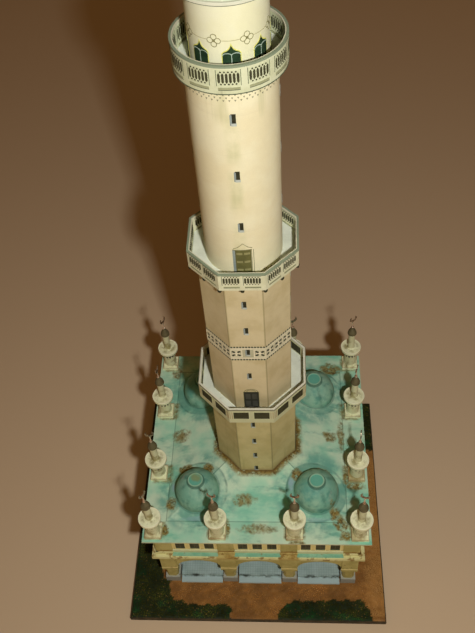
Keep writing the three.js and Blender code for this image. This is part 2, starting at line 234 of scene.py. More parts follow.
stains, start, end = shader_group(
    "stain_patches",
    {"Size Scale": 200.0, "Cover": 0.4, "Softness": 0.08, "Shift": 0.0, "Stretch": 1.0}, ["Mask"])
stretch = vector(stains, start["Stretch"], 1.0, 1.0)
stretched = calc_vector(stains, "MULTIPLY", here(stains), stretch)
offset = vector(stains, start["Shift"], start["Shift"], start["Shift"])
shifted = calc_vector(stains, "ADD", stretched, offset)
spots = noise(stains, start["Size Scale"], shifted, 4.0, 0.62)
edge = calc(stains, "SUBTRACT", 1.0, start["Cover"])
feed(stains, end["Mask"], between(stains, spots, edge, calc(stains, "ADD", edge, start["Softness"])))

band, start, end = shader_group(
    "height_band", {"Low": 0.0, "High": 1.0, "Blur": 0.001, "Ragged": 0.0}, ["Mask"])
height = axes_of(band, here(band))["Z"]
wave = calc(band, "SUBTRACT", noise(band, RAGGED_SCALE, here(band), 3.0), 0.5)
height = calc(band, "MULTIPLY_ADD", wave, start["Ragged"], height)
rise = between(band, height, calc(band, "SUBTRACT", start["Low"], start["Blur"]), start["Low"])
fall = between(band, height, start["High"], calc(band, "ADD", start["High"], start["Blur"]), 1.0, 0.0)
feed(band, end["Mask"], calc(band, "MULTIPLY", rise, fall))
print("mask groups:", [group.name for group in (streaks, stains, band)])

# %% [markdown]
# The model is the same on all four sides, so its print is laid out in folded coordinates: the absolute
# values of X and Y stand for all four sides at once. This group measures the distance from the axis and
# along a side, the distance from the nearest fold of the eight-sided tower, and the distances from the
# middle of the nearest corner dome and from the nearest of its seams.

# %% The group of folded distances
DOME_PLACE, GORES = 30.1, 8
HALF_SIDE, HALF_GORE = math.radians(22.5), math.pi / GORES

folded, start, end = shader_group(
    "folded_distances", {"Dome Place": DOME_PLACE * MM},
    ["Square", "Along", "Hip", "Octagon", "Fold", "Dome", "Seam"])
axes = axes_of(folded, here(folded))
across, deep = calc(folded, "ABSOLUTE", axes["X"]), calc(folded, "ABSOLUTE", axes["Y"])
outer, inner = calc(folded, "MAXIMUM", across, deep), calc(folded, "MINIMUM", across, deep)
diagonal = calc(folded, "MULTIPLY", calc(folded, "ADD", across, deep), math.sqrt(0.5))
octagon = calc(folded, "MAXIMUM", outer, diagonal)
around = calc(folded, "ADD", calc(folded, "ARCTAN2", axes["X"], axes["Y"]), HALF_SIDE)
from_x, from_y = (calc(folded, "SUBTRACT", value, start["Dome Place"]) for value in (across, deep))
reach = calc(folded, "MULTIPLY_ADD", from_x, from_x, calc(folded, "MULTIPLY", from_y, from_y))
reach = calc(folded, "SQRT", reach)
seam_turn = calc(folded, "ADD", calc(folded, "ARCTAN2", from_y, from_x), HALF_GORE)
for label, value in (
    ("Square", outer),
    ("Along", inner),
    ("Hip", calc(folded, "SUBTRACT", outer, inner)),
    ("Octagon", octagon),
    ("Fold", calc(folded, "MULTIPLY", octagon, calc(folded, "PINGPONG", around, HALF_SIDE))),
    ("Dome", reach),
    ("Seam", calc(folded, "MULTIPLY", reach, calc(folded, "PINGPONG", seam_turn, HALF_GORE))),
):
    feed(folded, end[label], value)
print("group:", folded.name)

# %% [markdown]
# A mark is a mask and a colour, and a material is a short list of marks: where, and in which colour. The
# masks below are functions that place a group in the material's tree. They can be weakened or
# multiplied, and of several the strongest can be taken, so that rust shows only in given places.

# %% Masks
OUTLINE_SCALE, UNEVEN, PATCH_CORE, PATCH_END = 330.0, 2.6, 0.1, 1.5


def mask_of(tree, group, output="Mask", **inputs):
    values = {label.replace("_", " ").title(): value for label, value in inputs.items()}
    return put(tree, "ShaderNodeGroup", values, node_tree=group).outputs[output]


def weakened(mask, strength):
    return lambda tree: calc(tree, "MULTIPLY", mask(tree), strength)


def combined(operation, masks):
    def mask(tree):
        result = masks[0](tree)
        for other in masks[1:]:
            result = calc(tree, operation, result, other(tree))
        return result
    return mask


def both(*masks):
    return combined("MULTIPLY", masks)


def either(*masks):
    return combined("MAXIMUM", masks)


def streaked(cover, width=500.0):
    return lambda tree: mask_of(tree, streaks, cover=cover, width_scale=width)


def crease_shade(cover, width, strength):
    """Fine level darker lines round a rolled sheet: painted shade that stands for creases."""
    values = {"cover": cover, "width_scale": width, "level": 0.04, "upright": 1.0}
    return weakened(lambda tree: mask_of(tree, streaks, **values), strength)


def stained(cover, size=200.0, softness=0.08, shift=0.0, strength=1.0, stretch=1.0):
    """A stain. Its size is the scale of the noise: 70 gives broad washes and 700 small specks."""
    values = {"cover": cover, "size_scale": size, "softness": softness, "shift": shift, "stretch": stretch}
    return weakened(lambda tree: mask_of(tree, stains, **values), strength)


def belt(low, high, blur=0.1, ragged=0.0, strength=1.0):
    """A mark between two heights in millimetres."""
    values = {"low": low * MM, "high": high * MM, "blur": blur * MM, "ragged": ragged * MM}
    return weakened(lambda tree: mask_of(tree, band, **values), strength)


def beside(part, target, half, blur=0.1, strength=1.0):
    """A mark where a folded distance is within half of the target, in millimetres."""
    def mask(tree):
        away = calc(tree, "ABSOLUTE", calc(tree, "SUBTRACT", mask_of(tree, folded, part), target * MM))
        return between(tree, away, half * MM, (half + blur) * MM, strength, 0.0)
    return mask


def patches(places):
    """Patches with an uneven outline. A place is (x, y, wide, deep, strength), in millimetres."""
    def mask(tree):
        axes = axes_of(tree, here(tree))
        outline = noise(tree, OUTLINE_SCALE, here(tree), 3.0)
        outline = calc(tree, "MULTIPLY_ADD", outline, UNEVEN, -UNEVEN / 2)
        strongest = 0.0
        for x, y, wide, deep, strength in places:
            across, along = (
                calc(tree, "DIVIDE", calc(tree, "SUBTRACT", axes[axis], middle * MM), reach * MM)
                for axis, middle, reach in (("X", x, wide), ("Y", y, deep)))
            away = calc(tree, "MULTIPLY_ADD", along, along, outline)
            away = calc(tree, "MULTIPLY_ADD", across, across, away)
            patch = between(tree, away, PATCH_CORE, PATCH_END, strength, 0.0)
            strongest = calc(tree, "MAXIMUM", strongest, patch)
        return strongest
    return mask


def stored_value(tree, label):
    return put(tree, "ShaderNodeAttribute", attribute_name=label).outputs["Fac"]


def stored(label, low=0.0, high=1.0):
    """A mark that grows while an attribute of the mesh goes from low to high."""
    return lambda tree: between(tree, stored_value(tree, label), low, high)


print("masks: streaked, creased, stained, belt, beside, patches, stored; helpers: weakened, both, either")

# %% [markdown]
# A material of printed card is the card group with its marks laid over it, one after another. Paper is
# rough and not metallic, and its grain goes into a weak bump. Rust comes back in several materials, so
# its three marks have a function of their own.

# %% Printed card as a material
PAPER_SHEEN = 0.3


def new_material(name):
    material = bpy.data.materials.new(name)
    material.use_nodes = True
    return material, material.node_tree


def set_surface(tree, values):
    """Feeds the inputs of a material's shader."""
    for label, value in values.items():
        feed(tree, tree.nodes["Principled BSDF"].inputs[label], value)


def relief(tree, height, strength, deep=0.1):
    """A bump that is this many millimetres deep."""
    values = {"Strength": strength, "Distance": deep * MM, "Height": height}
    return put(tree, "ShaderNodeBump", values).outputs[0]


def card(name, ink, second, tones=0.6, scale=120.0, grain=0.05, marks=(), bump=0.25):
    """marks are pairs of a mask and a colour."""
    material, tree = new_material(name)
    values = {"Ink": colour(ink), "Second Tone": colour(second), "Patches": tones, "Patch Scale": scale,
              "Grain": grain}
    paper = put(tree, "ShaderNodeGroup", values, node_tree=printed_card).outputs
    shown = paper["Color"]
    for mask, paint in marks:
        shown = blend_colours(tree, mask(tree), shown, colour(paint))
    set_surface(tree, {"Base Color": shown, "Roughness": paper["Roughness"],
                       "Specular IOR Level": PAPER_SHEEN, "Normal": relief(tree, paper["Height"], bump)})
    return material


def rusted(place):
    """Three marks: a soft olive wash in the given place, ochre rust on it, and dark specks."""
    return [(both(place, stained(0.7, 280.0, 0.3, 0.0, 0.9)), "96905a"),
            (both(place, stained(0.62, 470.0, 0.16, 2.0, 0.9)), "8a7330"),
            (both(place, stained(0.51, 760.0, 0.1, 5.0, 0.8)), "524218")]


print("marks of rust:", len(rusted(belt(0, 1))))

# %% [markdown]
# Meshes are made from lists of points in millimetres and faces. A turned piece sweeps a profile round
# the axis. A print or an inlay is a ribbon: pairs of points across it, given a small thickness, so that
# a window, a line and a ring are all made by the same few lines. A ribbon can be bent round a shaft.

# %% Helpers for meshes
def new_piece(name, points, faces):
    mesh = bpy.data.meshes.new(name)
    mesh.from_pydata([[value * MM for value in point] for point in points], [], faces)
    return in_the_scene(name, mesh)


def joined(shapes):
    points, faces = [], []
    for more_points, more_faces in shapes:
        start_at = len(points)
        points.extend(more_points)
        faces.extend([[index + start_at for index in face] for face in more_faces])
    return points, faces


def moved(shape, x=0.0, y=0.0, z=0.0):
    points, faces = shape
    return [(px + x, py + y, pz + z) for px, py, pz in points], faces


def turned(profile, sides, turn=0.0, loop=False):
    """A closed turned solid. The profile goes up the outside, from axis to axis, or round a loop."""
    points, rings = [], []
    for radius, height in profile:
        count = 1 if radius == 0 else sides
        rings.append(list(range(len(points), len(points) + count)))
        for i in range(count):
            angle = turn + 2 * math.pi * i / sides
            points.append((radius * math.cos(angle), radius * math.sin(angle), height))
    pairs = list(zip(rings, rings[1:]))
    if loop:
        pairs.append((rings[-1], rings[0]))
    faces = []
    for low, high in pairs:
        for i in range(sides):
            j = (i + 1) % sides
            corners = [low[i % len(low)], low[j % len(low)], high[j % len(high)], high[i % len(high)]]
            face = list(dict.fromkeys(corners))
            if len(face) > 2:
                faces.append(face)
    return points, faces


def ribbon(pairs, loop=False, proud=0.06, sunk=0.05):
    """A thin closed plate on the wall y = 0 from pairs of (x, z) points across it, lower point first."""
    points = []
    for (x1, z1), (x2, z2) in pairs:
        points += [(x1, -proud, z1), (x2, -proud, z2), (x2, sunk, z2), (x1, sunk, z1)]
    count = len(pairs)
    faces = []
    for i in range(count if loop else count - 1):
        a, b = 4 * i, 4 * ((i + 1) % count)
        for k in range(4):
            m = (k + 1) % 4
            faces.append([a + k, b + k, b + m, a + m])
    if not loop:
        last = 4 * (count - 1)
        faces += [[0, 1, 2, 3], [last + 3, last + 2, last + 1, last]]
    return points, faces


def block(low, high):
    """A box as a ribbon that is thick: low and high are its corners."""
    points, faces = ribbon([((x, low[2]), (x, high[2])) for x in (low[0], high[0])])
    return [(x, high[1] if y > 0 else low[1], z) for x, y, z in points], faces


def bent(shape, radius):
    """The same shape laid round an upright shaft whose front line is at y = 0."""
    points = []
    for x, y, z in shape[0]:
        angle, reach = x / radius, radius - y
        points.append((reach * math.sin(angle), radius - reach * math.cos(angle), z))
    return points, shape[1]


def mirrored(shape):
    """The same print on the inner face of a wall, where it looks towards the axis."""
    return [(x, -y, z) for x, y, z in shape[0]], [face[::-1] for face in shape[1]]


print("a turned ring has", len(turned([(1, 0), (1, 1)], 8)[1]), "faces")

# %% [markdown]
# A finished piece gets one material and the body it rides on, and it may stand for nodes of the imported
# model. Rolled card is a smooth tube, so pieces that are turned from a profile share one function.

# %% Helpers that finish a piece
SMOOTH_SIDES = 96


def smooth(piece, angle=35.0):
    piece.data.shade_smooth()
    piece.data.set_sharp_from_angle(angle=math.radians(angle))


def store(piece, label, values):
    """Stores a number for every point of the piece."""
    piece.data.attributes.new(label, "FLOAT", "POINT").data.foreach_set("value", values)


def dress(piece, material, slot, *replaced):
    piece.data.materials.clear()
    piece.data.materials.append(material)
    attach(piece, "root")
    if replaced:
        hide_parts(*replaced)
    print(piece.name, len(piece.data.polygons), "faces")
    return piece


def rolled(name, profile, material, slot, *replaced, loop=False):
    piece = new_piece(name, *turned(profile, SMOOTH_SIDES, loop=loop))
    smooth(piece)
    return dress(piece, material, slot, *replaced)


def finish_node(name, material):
    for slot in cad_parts[name].material_slots:
        slot.material = material


def heights_of(node):
    """Lowest and highest height of a node, in millimetres."""
    low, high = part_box(node)
    return low[2] / MM, high[2] / MM


print("height of the roof's node:", [round(value, 1) for value in heights_of("roof")])

# %% [markdown]
# What repeats on this model stands in rings: windows on the sides, slots in the parapets, consoles and
# rosettes. One Geometry Nodes tree makes them all. It moves a print out to the wall, repeats it in a
# row, and repeats the row on every side. A second tree stands a piece on given points, with a turn for
# each point. Both end in real meshes, because an export drops instances.

# %% Trees that repeat a piece
def geometry_tree(name, inputs):
    tree = bpy.data.node_groups.new(name, "GeometryNodeTree")
    tree.interface.new_socket("Geometry", in_out="INPUT", socket_type="NodeSocketGeometry")
    for label, kind in inputs:
        tree.interface.new_socket(label, in_out="INPUT", socket_type=kind)
    tree.interface.new_socket("Geometry", in_out="OUTPUT", socket_type="NodeSocketGeometry")
    return tree, tree.nodes.new("NodeGroupInput").outputs, tree.nodes.new("NodeGroupOutput").inputs


def finish_tree(tree, geometry, material, end):
    real = put(tree, "GeometryNodeRealizeInstances", {0: geometry}).outputs[0]
    painted = put(tree, "GeometryNodeSetMaterial", {"Geometry": real, "Material": material}).outputs[0]
    feed(tree, end["Geometry"], painted)


def copies(tree, points, instance, turn):
    inputs = {"Points": points, "Instance": instance, "Rotation": vector(tree, z=turn)}
    return put(tree, "GeometryNodeInstanceOnPoints", inputs).outputs[0]


WHOLE_NUMBER, PAINT, OBJECT = "NodeSocketInt", "NodeSocketMaterial", "NodeSocketObject"
ring_tree, start, end = geometry_tree(
    "ring_of_rows",
    [("Distance", FLOAT), ("Height", FLOAT), ("Sides", WHOLE_NUMBER), ("Row", WHOLE_NUMBER),
     ("Spacing", FLOAT), ("First", FLOAT), ("Material", PAINT)],
)
to_wall = vector(ring_tree, 0.0, calc(ring_tree, "MULTIPLY", start["Distance"], -1.0), start["Height"])
at_wall = put(ring_tree, "GeometryNodeTransform", {"Geometry": start["Geometry"], "Translation": to_wall})
before = calc(ring_tree, "DIVIDE", calc(ring_tree, "SUBTRACT", 1.0, start["Row"]), 2.0)
row_line = put(ring_tree, "GeometryNodeMeshLine", {
    "Count": start["Row"], "Offset": vector(ring_tree, start["Spacing"]),
    "Start Location": vector(ring_tree, calc(ring_tree, "MULTIPLY", before, start["Spacing"]))})
row = copies(ring_tree, row_line.outputs[0], at_wall.outputs[0], 0.0)
sides_line = put(ring_tree, "GeometryNodeMeshLine", {"Count": start["Sides"], "Offset": (0.0, 0.0, 0.0)})
index = ring_tree.nodes.new("GeometryNodeInputIndex").outputs[0]
step = calc(ring_tree, "DIVIDE", 2 * math.pi, start["Sides"])
side_turn = calc(ring_tree, "MULTIPLY_ADD", index, step, start["First"])
finish_tree(ring_tree, copies(ring_tree, sides_line.outputs[0], row, side_turn), start["Material"], end)

stand_tree, start, end = geometry_tree("stand_on_points", [("Piece", OBJECT), ("Material", PAINT)])
pattern = put(stand_tree, "GeometryNodeObjectInfo", {"Object": start["Piece"]}).outputs["Geometry"]
turn = put(stand_tree, "GeometryNodeInputNamedAttribute", {"Name": "turn"}, data_type="FLOAT").outputs[0]
finish_tree(stand_tree, copies(stand_tree, start["Geometry"], pattern, turn), start["Material"], end)
print("trees:", ring_tree.name, stand_tree.name)

# %% [markdown]
# A tree is run once on a piece, and the result becomes the piece's plain mesh. The modifier could stay
# on it, but a plain mesh is simple to check and to export. A print is drawn on the wall y = 0, bent
# where the wall is round, and then repeated on all sides.

# %% Helpers that run a tree
def grow(piece, tree, **values):
    """Runs a tree on the piece and keeps the result as its plain mesh."""
    modifier = piece.modifiers.new(tree.name, "NODES")
    modifier.node_group = tree
    for item in tree.interface.items_tree:
        if item.in_out == "INPUT" and item.name in values:
            modifier[item.identifier] = values[item.name]
    evaluated = piece.evaluated_get(bpy.context.evaluated_depsgraph_get())
    old, piece.data = piece.data, bpy.data.meshes.new_from_object(evaluated)
    piece.modifiers.remove(modifier)
    bpy.data.meshes.remove(old)
    return piece


def print_ring(name, shapes, material, slot, distance, height=0.0, sides=8, row=1, spacing=0.0, first=0.0,
               is_round=False):
    """Prints the shapes on every side. Sizes are in millimetres, and first is a turn in degrees."""
    if is_round:
        shapes = [bent(shape, distance) for shape in shapes]
    piece = new_piece(name, *joined(shapes))
    values = {"Distance": distance * MM, "Height": height * MM, "Spacing": spacing * MM, "Sides": sides,
              "Row": row, "First": math.radians(first), "Material": material}
    return dress(grow(piece, ring_tree, **values), material, slot)


def print_all(prints, slot, distance, **ring):
    """Prints each (name, shapes, material) in the same way."""
    for name, shapes, material in prints:
        print_ring(name, shapes, material, slot, distance, **ring)


print("sockets of a ring:", [item.name for item in ring_tree.interface.items_tree])

# %% [markdown]
# Some shapes are used again and again in the print: a plain rectangle, a pointed slot, a thin line along
# a path and a round dot. Each gives the pairs of points that a ribbon needs.

# %% Shapes of the print
def rectangle(left, right, low, high, cells=1, **thickness):
    across = [left + (right - left) * i / cells for i in range(cells + 1)]
    return ribbon([((x, low), (x, high)) for x in across], **thickness)


def frame_lines(left, right, low, high, width, **thickness):
    """Four thin bars round a rectangle."""
    before, after = left - width, right + width
    bars = ((before, after, high, high + width), (before, after, low - width, low),
            (before, left, low, high), (right, after, low, high))
    return joined([rectangle(*bar, **thickness) for bar in bars])


def pointed_slot(x, low, high, width, point, **thickness):
    """An upright slot that narrows over the length of its point at both ends."""
    half, blunt = width / 2, 0.3
    pairs = []
    for side, share in ((-1, 1), (-blunt, blunt), (blunt, blunt), (1, 1)):
        pairs.append(((x + half * side, low + point * share), (x + half * side, high - point * share)))
    return ribbon(pairs, **thickness)


def dot(x, z, radius, sides=6, **thickness):
    """A round dot as a ribbon of upright columns."""
    pairs = []
    for i in range(sides + 1):
        angle = math.pi * (1 - i / sides)
        along, reach = x + radius * math.cos(angle), max(radius * math.sin(angle), radius * 0.15)
        pairs.append(((along, z - reach), (along, z + reach)))
    return ribbon(pairs, **thickness)


def line(path, width, loop=False, **thickness):
    """A line of even width along a path of (x, z) points."""
    pairs = []
    count = len(path)
    for i, (x, z) in enumerate(path):
        before = path[i - 1] if loop or i else path[i]
        after = path[(i + 1) % count] if loop or i + 1 < count else path[i]
        along = Vector((after[0] - before[0], after[1] - before[1])).normalized()
        side = Vector((-along.y, along.x)) * width / 2
        pairs.append(((x - side.x, z - side.y), (x + side.x, z + side.y)))
    return ribbon(pairs, loop, **thickness)


def arc(x, z, radius, first, last, steps):
    """Points of an arc, from the first to the last angle in degrees."""
    angles = [math.radians(first + (last - first) * i / steps) for i in range(steps + 1)]
    return [(x + radius * math.cos(a), z + radius * math.sin(a)) for a in angles]


def flat_arch(x, z, radius, rise, steps):
    """Points of half a circle that is pressed flat. Its rise is a share of the radius."""
    return [(px, z + (pz - z) * rise) for px, pz in arc(x, z, radius, 0, 180, steps)]


def triangle(x, foot, tip, width, **thickness):
    """A printed tooth with its foot at one height and its tip at the other."""
    ends = ((x - width / 2, 0.1), (x, 1.0), (x + width / 2, 0.1))
    columns = [(at, sorted((foot, foot + share * (tip - foot)))) for at, share in ends]
    return ribbon([((at, low), (at, high)) for at, (low, high) in columns], **thickness)


print("a dot has", len(dot(0, 0, 1)[1]), "faces")

# %% [markdown]
# The board is coated with dark green flock for the beds and brown grit for the paths. A flat colour
# would look like paint, so a low uneven layer carries the two colours, and crumbs of flock and grains of
# grit lie on it. The beds are plain outlines whose edges wobble a little. Nothing is strewn on the rim
# of the board or under the floor of the model.

# %% Beds and paths on the board
BEDS = [
    [(-72, 66), (-72, -76), (-15, -76), (-15.8, -65), (-20, -64.5), (-28.7, -65.6), (-38.8, -65),
     (-45.3, -63), (-49, -59.8), (-49.8, -56.6), (-49.5, -52), (-54, -50), (-54, 66)],
    [(9.4, -76), (10.5, -68.2), (13.8, -64.6), (19.2, -62.2), (30.3, -62.4), (42, -61.6), (54.5, -61.6),
     (57.4, -63.2), (59.6, -67), (60.9, -76)],
    [(61, 31), (70, 30.5), (70, 66), (-56, 66), (-56, 55), (61, 55)],
]
UNDER_THE_MODEL, RIM_LEFT_BARE = 52.0, 0.9
board_low, board_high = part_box("display_board")
LEFT, FRONT, BOARD_TOP = (value / MM for value in (board_low[0], board_low[1], board_high[2]))
RIGHT, BACK = board_high[0] / MM, board_high[1] / MM


def inside(x, y, outline):
    found = False
    for (x1, y1), (x2, y2) in zip(outline, outline[1:] + outline[:1]):
        if (y1 > y) != (y2 > y) and x < x1 + (y - y1) * (x2 - x1) / (y2 - y1):
            found = not found
    return found


def in_a_bed(x, y):
    wobble = 0.5 * math.sin(0.9 * x + 0.4 * y) + 0.3 * math.sin(1.2 * y - 0.7 * x)
    return any(inside(x + wobble, y + wobble, bed) for bed in BEDS)


def is_strewn(x, y):
    to_rim = min(x - LEFT, RIGHT - x, y - FRONT, BACK - y)
    return to_rim > RIM_LEFT_BARE and max(abs(x), abs(y)) > UNDER_THE_MODEL


print("beds:", len(BEDS), "board in mm:", round(RIGHT - LEFT, 1), "x", round(BACK - FRONT, 1))

# %% [markdown]
# The layer is a grid of points with a gentle swell, closed by its sides and a flat underside. Each point
# stores whether it belongs to a bed, for the paint, and whether flock or grit is strewn there.

# %% Layer over the board
CELL, LAYER_MARGIN, LAYER_SUNK = 0.9, 0.5, 0.2
RELIEF, SWELL, BED_RISE, RIM_RISE = 0.28, 0.16, 0.2, 0.05


def ground_layer():
    """A closed layer over the board with a low relief."""
    wide, deep = RIGHT - LEFT - 2 * LAYER_MARGIN, BACK - FRONT - 2 * LAYER_MARGIN
    columns, rows = int(wide / CELL), int(deep / CELL)
    points, faces = [], []
    for j in range(rows + 1):
        for i in range(columns + 1):
            x, y = LEFT + LAYER_MARGIN + wide * i / columns, FRONT + LAYER_MARGIN + deep * j / rows
            swell = math.sin(0.83 * x + 1.3 * math.sin(0.6 * y))
            swell *= math.sin(0.91 * y + 1.1 * math.sin(0.7 * x))
            lift = RELIEF + SWELL * swell + (BED_RISE if in_a_bed(x, y) else 0.0)
            at_rim = i in (0, columns) or j in (0, rows)
            points.append((x, y, BOARD_TOP + (RIM_RISE if at_rim else lift)))
    for j in range(rows):
        for i in range(columns):
            a = j * (columns + 1) + i
            faces.append([a, a + 1, a + columns + 2, a + columns + 1])
    edge = list(range(columns + 1))
    edge += [j * (columns + 1) + columns for j in range(1, rows + 1)]
    edge += [rows * (columns + 1) + i for i in range(columns - 1, -1, -1)]
    edge += [j * (columns + 1) for j in range(rows - 1, 0, -1)]
    below = len(points)
    points += [(points[index][0], points[index][1], BOARD_TOP - LAYER_SUNK) for index in edge]
    for k in range(len(edge)):
        m = (k + 1) % len(edge)
        faces.append([edge[m], edge[k], below + k, below + m])
    faces.append([below + k for k in range(len(edge) - 1, -1, -1)])
    return points, faces


points, faces = ground_layer()
ground = new_piece("ground_coating", points, faces)
in_bed = [1.0 if in_a_bed(x, y) else 0.0 for x, y, _ in points]
strewn = [1.0 if is_strewn(x, y) else 0.0 for x, y, _ in points]
flocked = [bed * bare for bed, bare in zip(in_bed, strewn)]
gritted = [(1.0 - bed) * bare for bed, bare in zip(in_bed, strewn)]
for label, values in (("bed", in_bed), ("flocked", flocked), ("gritted", gritted)):
    store(ground, label, values)
print("points in beds:", int(sum(in_bed)), "of", len(in_bed))

# %% [markdown]
# Flock and grit are scattered with Geometry Nodes. The tree takes the layer, keeps the points where the
# named attribute is high, and puts a crumb with a random turn and size on each. Every crumb stores a
# random number, and the material turns it into a darker or lighter crumb.

# %% Tree that scatters crumbs
FACING_UP = 0.5
scatter_tree, start, end = geometry_tree(
    "scatter_crumbs",
    [("Crumb", OBJECT), ("Where", "NodeSocketString"), ("Density", FLOAT), ("Seed", WHOLE_NUMBER),
     ("Smallest", FLOAT), ("Largest", FLOAT), ("Material", PAINT)],
)


def random_value(kind, low, high):
    """low and high are pairs of an input's place on the node and its value."""
    inputs = {**dict([low, high]), "Seed": start["Seed"]}
    return put(scatter_tree, "FunctionNodeRandomValue", inputs, data_type=kind)


where = put(scatter_tree, "GeometryNodeInputNamedAttribute", {"Name": start["Where"]}, data_type="FLOAT")
normal = scatter_tree.nodes.new("GeometryNodeInputNormal").outputs[0]
is_upper = calc(scatter_tree, "GREATER_THAN", axes_of(scatter_tree, normal)["Z"], FACING_UP)
chosen = calc(scatter_tree, "MULTIPLY", where.outputs[0], is_upper)
spread = put(scatter_tree, "GeometryNodeDistributePointsOnFaces", {
    "Mesh": start["Geometry"], "Density": calc(scatter_tree, "MULTIPLY", chosen, start["Density"]),
    "Seed": start["Seed"]})
spin = random_value("FLOAT_VECTOR", (0, (0.0, 0.0, 0.0)), (1, (2 * math.pi,) * 3)).outputs[0]
size = random_value("FLOAT", (2, start["Smallest"]), (3, start["Largest"])).outputs[1]
tint = random_value("FLOAT", (2, 0.0), (3, 1.0)).outputs[1]
crumb_shape = put(scatter_tree, "GeometryNodeObjectInfo", {"Object": start["Crumb"]}).outputs["Geometry"]
crumbs = put(scatter_tree, "GeometryNodeInstanceOnPoints", {
    "Points": spread.outputs["Points"], "Instance": crumb_shape, "Rotation": spin, "Scale": size})
tinted = put(scatter_tree, "GeometryNodeStoreNamedAttribute", {
    "Geometry": crumbs.outputs[0], "Name": "tint", "Value": tint}, domain="INSTANCE", data_type="FLOAT")
finish_tree(scatter_tree, tinted.outputs[0], start["Material"], end)
print("tree:", scatter_tree.name)

# %% [markdown]
# A crumb is matt and has hardly any gloss, because flock swallows light. Most crumbs lie between two
# dark tones, with patches of a fresher one, and a few are pale, as dust and bare fibres are. A crumb is
# a small octahedron, which is cheap enough for thousands.

# %% Crumbs of flock and grit
PALE_FROM, TUFT_SCALE, TUFT_SHARE, CLOUDS, CRUMB_GRAIN = 0.97, 75.0, 0.75, 110.0, 3000.0
CRUMB_ROUGH, CRUMB_SHEEN, CRUMB_SEED = 0.95, 0.1, 7


def crumb_material(name, dark, middle, fresh, pale):
    material, tree = new_material(name)
    tint = stored_value(tree, "tint")
    body = blend_colours(tree, between(tree, tint, 0.0, PALE_FROM), colour(dark), colour(middle))
    tufts = between(tree, noise(tree, TUFT_SCALE, here(tree), 3.0), 0.5, 0.62, 0.0, TUFT_SHARE)
    body = blend_colours(tree, tufts, body, colour(fresh))
    shown = blend_colours(tree, between(tree, tint, PALE_FROM, PALE_FROM + 0.01), body, colour(pale))
    clouds = between(tree, noise(tree, CLOUDS, here(tree)), 0.3, 0.7, 0.5, 1.5)
    shown = put(tree, "ShaderNodeHueSaturation", {"Value": clouds, "Color": shown}).outputs[0]
    set_surface(tree, {"Base Color": shown, "Roughness": CRUMB_ROUGH, "Specular IOR Level": CRUMB_SHEEN,
                       "Normal": relief(tree, noise(tree, CRUMB_GRAIN, here(tree)), 0.5)})
    return material


crumb = new_piece(
    "crumb", [(1, 0, 0), (0, 1, 0), (-1, 0, 0), (0, -1, 0), (0, 0, 1), (0, 0, -1)],
    [[0, 1, 4], [1, 2, 4], [2, 3, 4], [3, 0, 4], [1, 0, 5], [2, 1, 5], [3, 2, 5], [0, 3, 5]])
for name, kept_where, density, smallest, largest, material in (
    ("board_flock", "flocked", 3.6e6, 0.2, 0.46,
     crumb_material("flock_green", "34300f", "464c1c", "175e30", "746238")),
    ("board_grit", "gritted", 5.5e6, 0.08, 0.24,
     crumb_material("grit_brown", "84562a", "a9783a", "b0702e", "b8925c")),
):
    layer = in_the_scene(name, ground.data.copy())
    grow(layer, scatter_tree, Crumb=crumb, Where=kept_where, Density=density, Seed=CRUMB_SEED,
         Smallest=smallest, Largest=largest, Material=material)
    dress(layer, material, "board")
bpy.data.objects.remove(crumb)

# %% [markdown]
# Under the crumbs the layer has the same two colours, so that no gap between them looks bare. The path
# on the right is a little lighter. The board is plain dark card, and it shows only at its cut edges and
# from below.

# %% Paint of the layer and the board
RIGHT_PATH = [(64, y, 7, 22, 0.9) for y in (-50, -20, 10)]
ground_paint = card("ground_paint", "835c2e", "a4763c", 0.8, 160.0, 0.1, [
    (patches(RIGHT_PATH), "b88a4c"),
    (stored("bed"), "1b2a14"),
], 0.6)
dress(ground, ground_paint, "board")
finish_node("display_board", card("board_card", "3a3324", "55472f", 0.7, 200.0, 0.1))

# %% [markdown]
# The floor behind the arches and the step in front of it are one grey-blue sheet with a fine printed
# grid of tiles. The grid could be cut as grooves, but the real one is only ink, so two sets of thin
# lines on Object coordinates do it. A dark band, broken by noise, is painted along the floor's edge
# above the step: painted shade where the floor drops to the step.

# %% Tiled floor
FLOOR_HALF, STEP_TOP, TILE, JOINT = 49.4, 4.4, 1.35, 0.14


def tile_joints(tree):
    axes = axes_of(tree, here(tree))
    shown = 0.0
    for axis in ("X", "Y"):
        away = calc(tree, "PINGPONG", axes[axis], TILE * MM / 2)
        shown = calc(tree, "MAXIMUM", shown, calc(tree, "LESS_THAN", away, JOINT * MM / 2))
    return shown


finish_node("arcade_floor", card("floor_tiles", "aec8c8", "99b5b2", 0.7, 140.0, 0.05, [
    (weakened(tile_joints, 0.4), "5f7480"),
    (belt(0, STEP_TOP + 0.1, 0.05, 0, 0.85), "b6d0d4"),
    # painted shade: a dark band, broken by noise, along the floor's edge above the step
    (both(beside("Square", FLOOR_HALF, 0.1, 0.8), stained(0.62, 260.0, 0.3)), "39413c"),
    (stained(0.36, 150.0, 0.12, 0.3, 0.35), "61736a"),
]))
print("tiles of", TILE, "mm")

# %% [markdown]
# The four walls of the base are one sheet each: grey foot blocks, olive piers and arches, a cream line
# along the capitals, and above the string course a cream wall between olive pilasters. The tops of the
# foot blocks are painted lighter than their sides, which is painted light on the faces that look up. The
# zones are told apart by height, by how far out a face lies and by which way it faces, so the solids need
# no cuts.

# %% Walls of the base
COURSE_LOW, COURSE_TOP = heights_of("string_course")
COURSE_HALF, WALL_FACE, PILASTER_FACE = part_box("string_course")[1][0] / MM, 51.3, 52.2
FOOT_TOP, CAPITAL_TOP, ROOF_TOP, BAY = 8.8, 23.4, 66.2, 32.1


def painted_light_on_tops(tree):
    normal = put(tree, "ShaderNodeNewGeometry").outputs["Normal"]
    return calc(tree, "GREATER_THAN", axes_of(tree, normal)["Z"], FACING_UP)


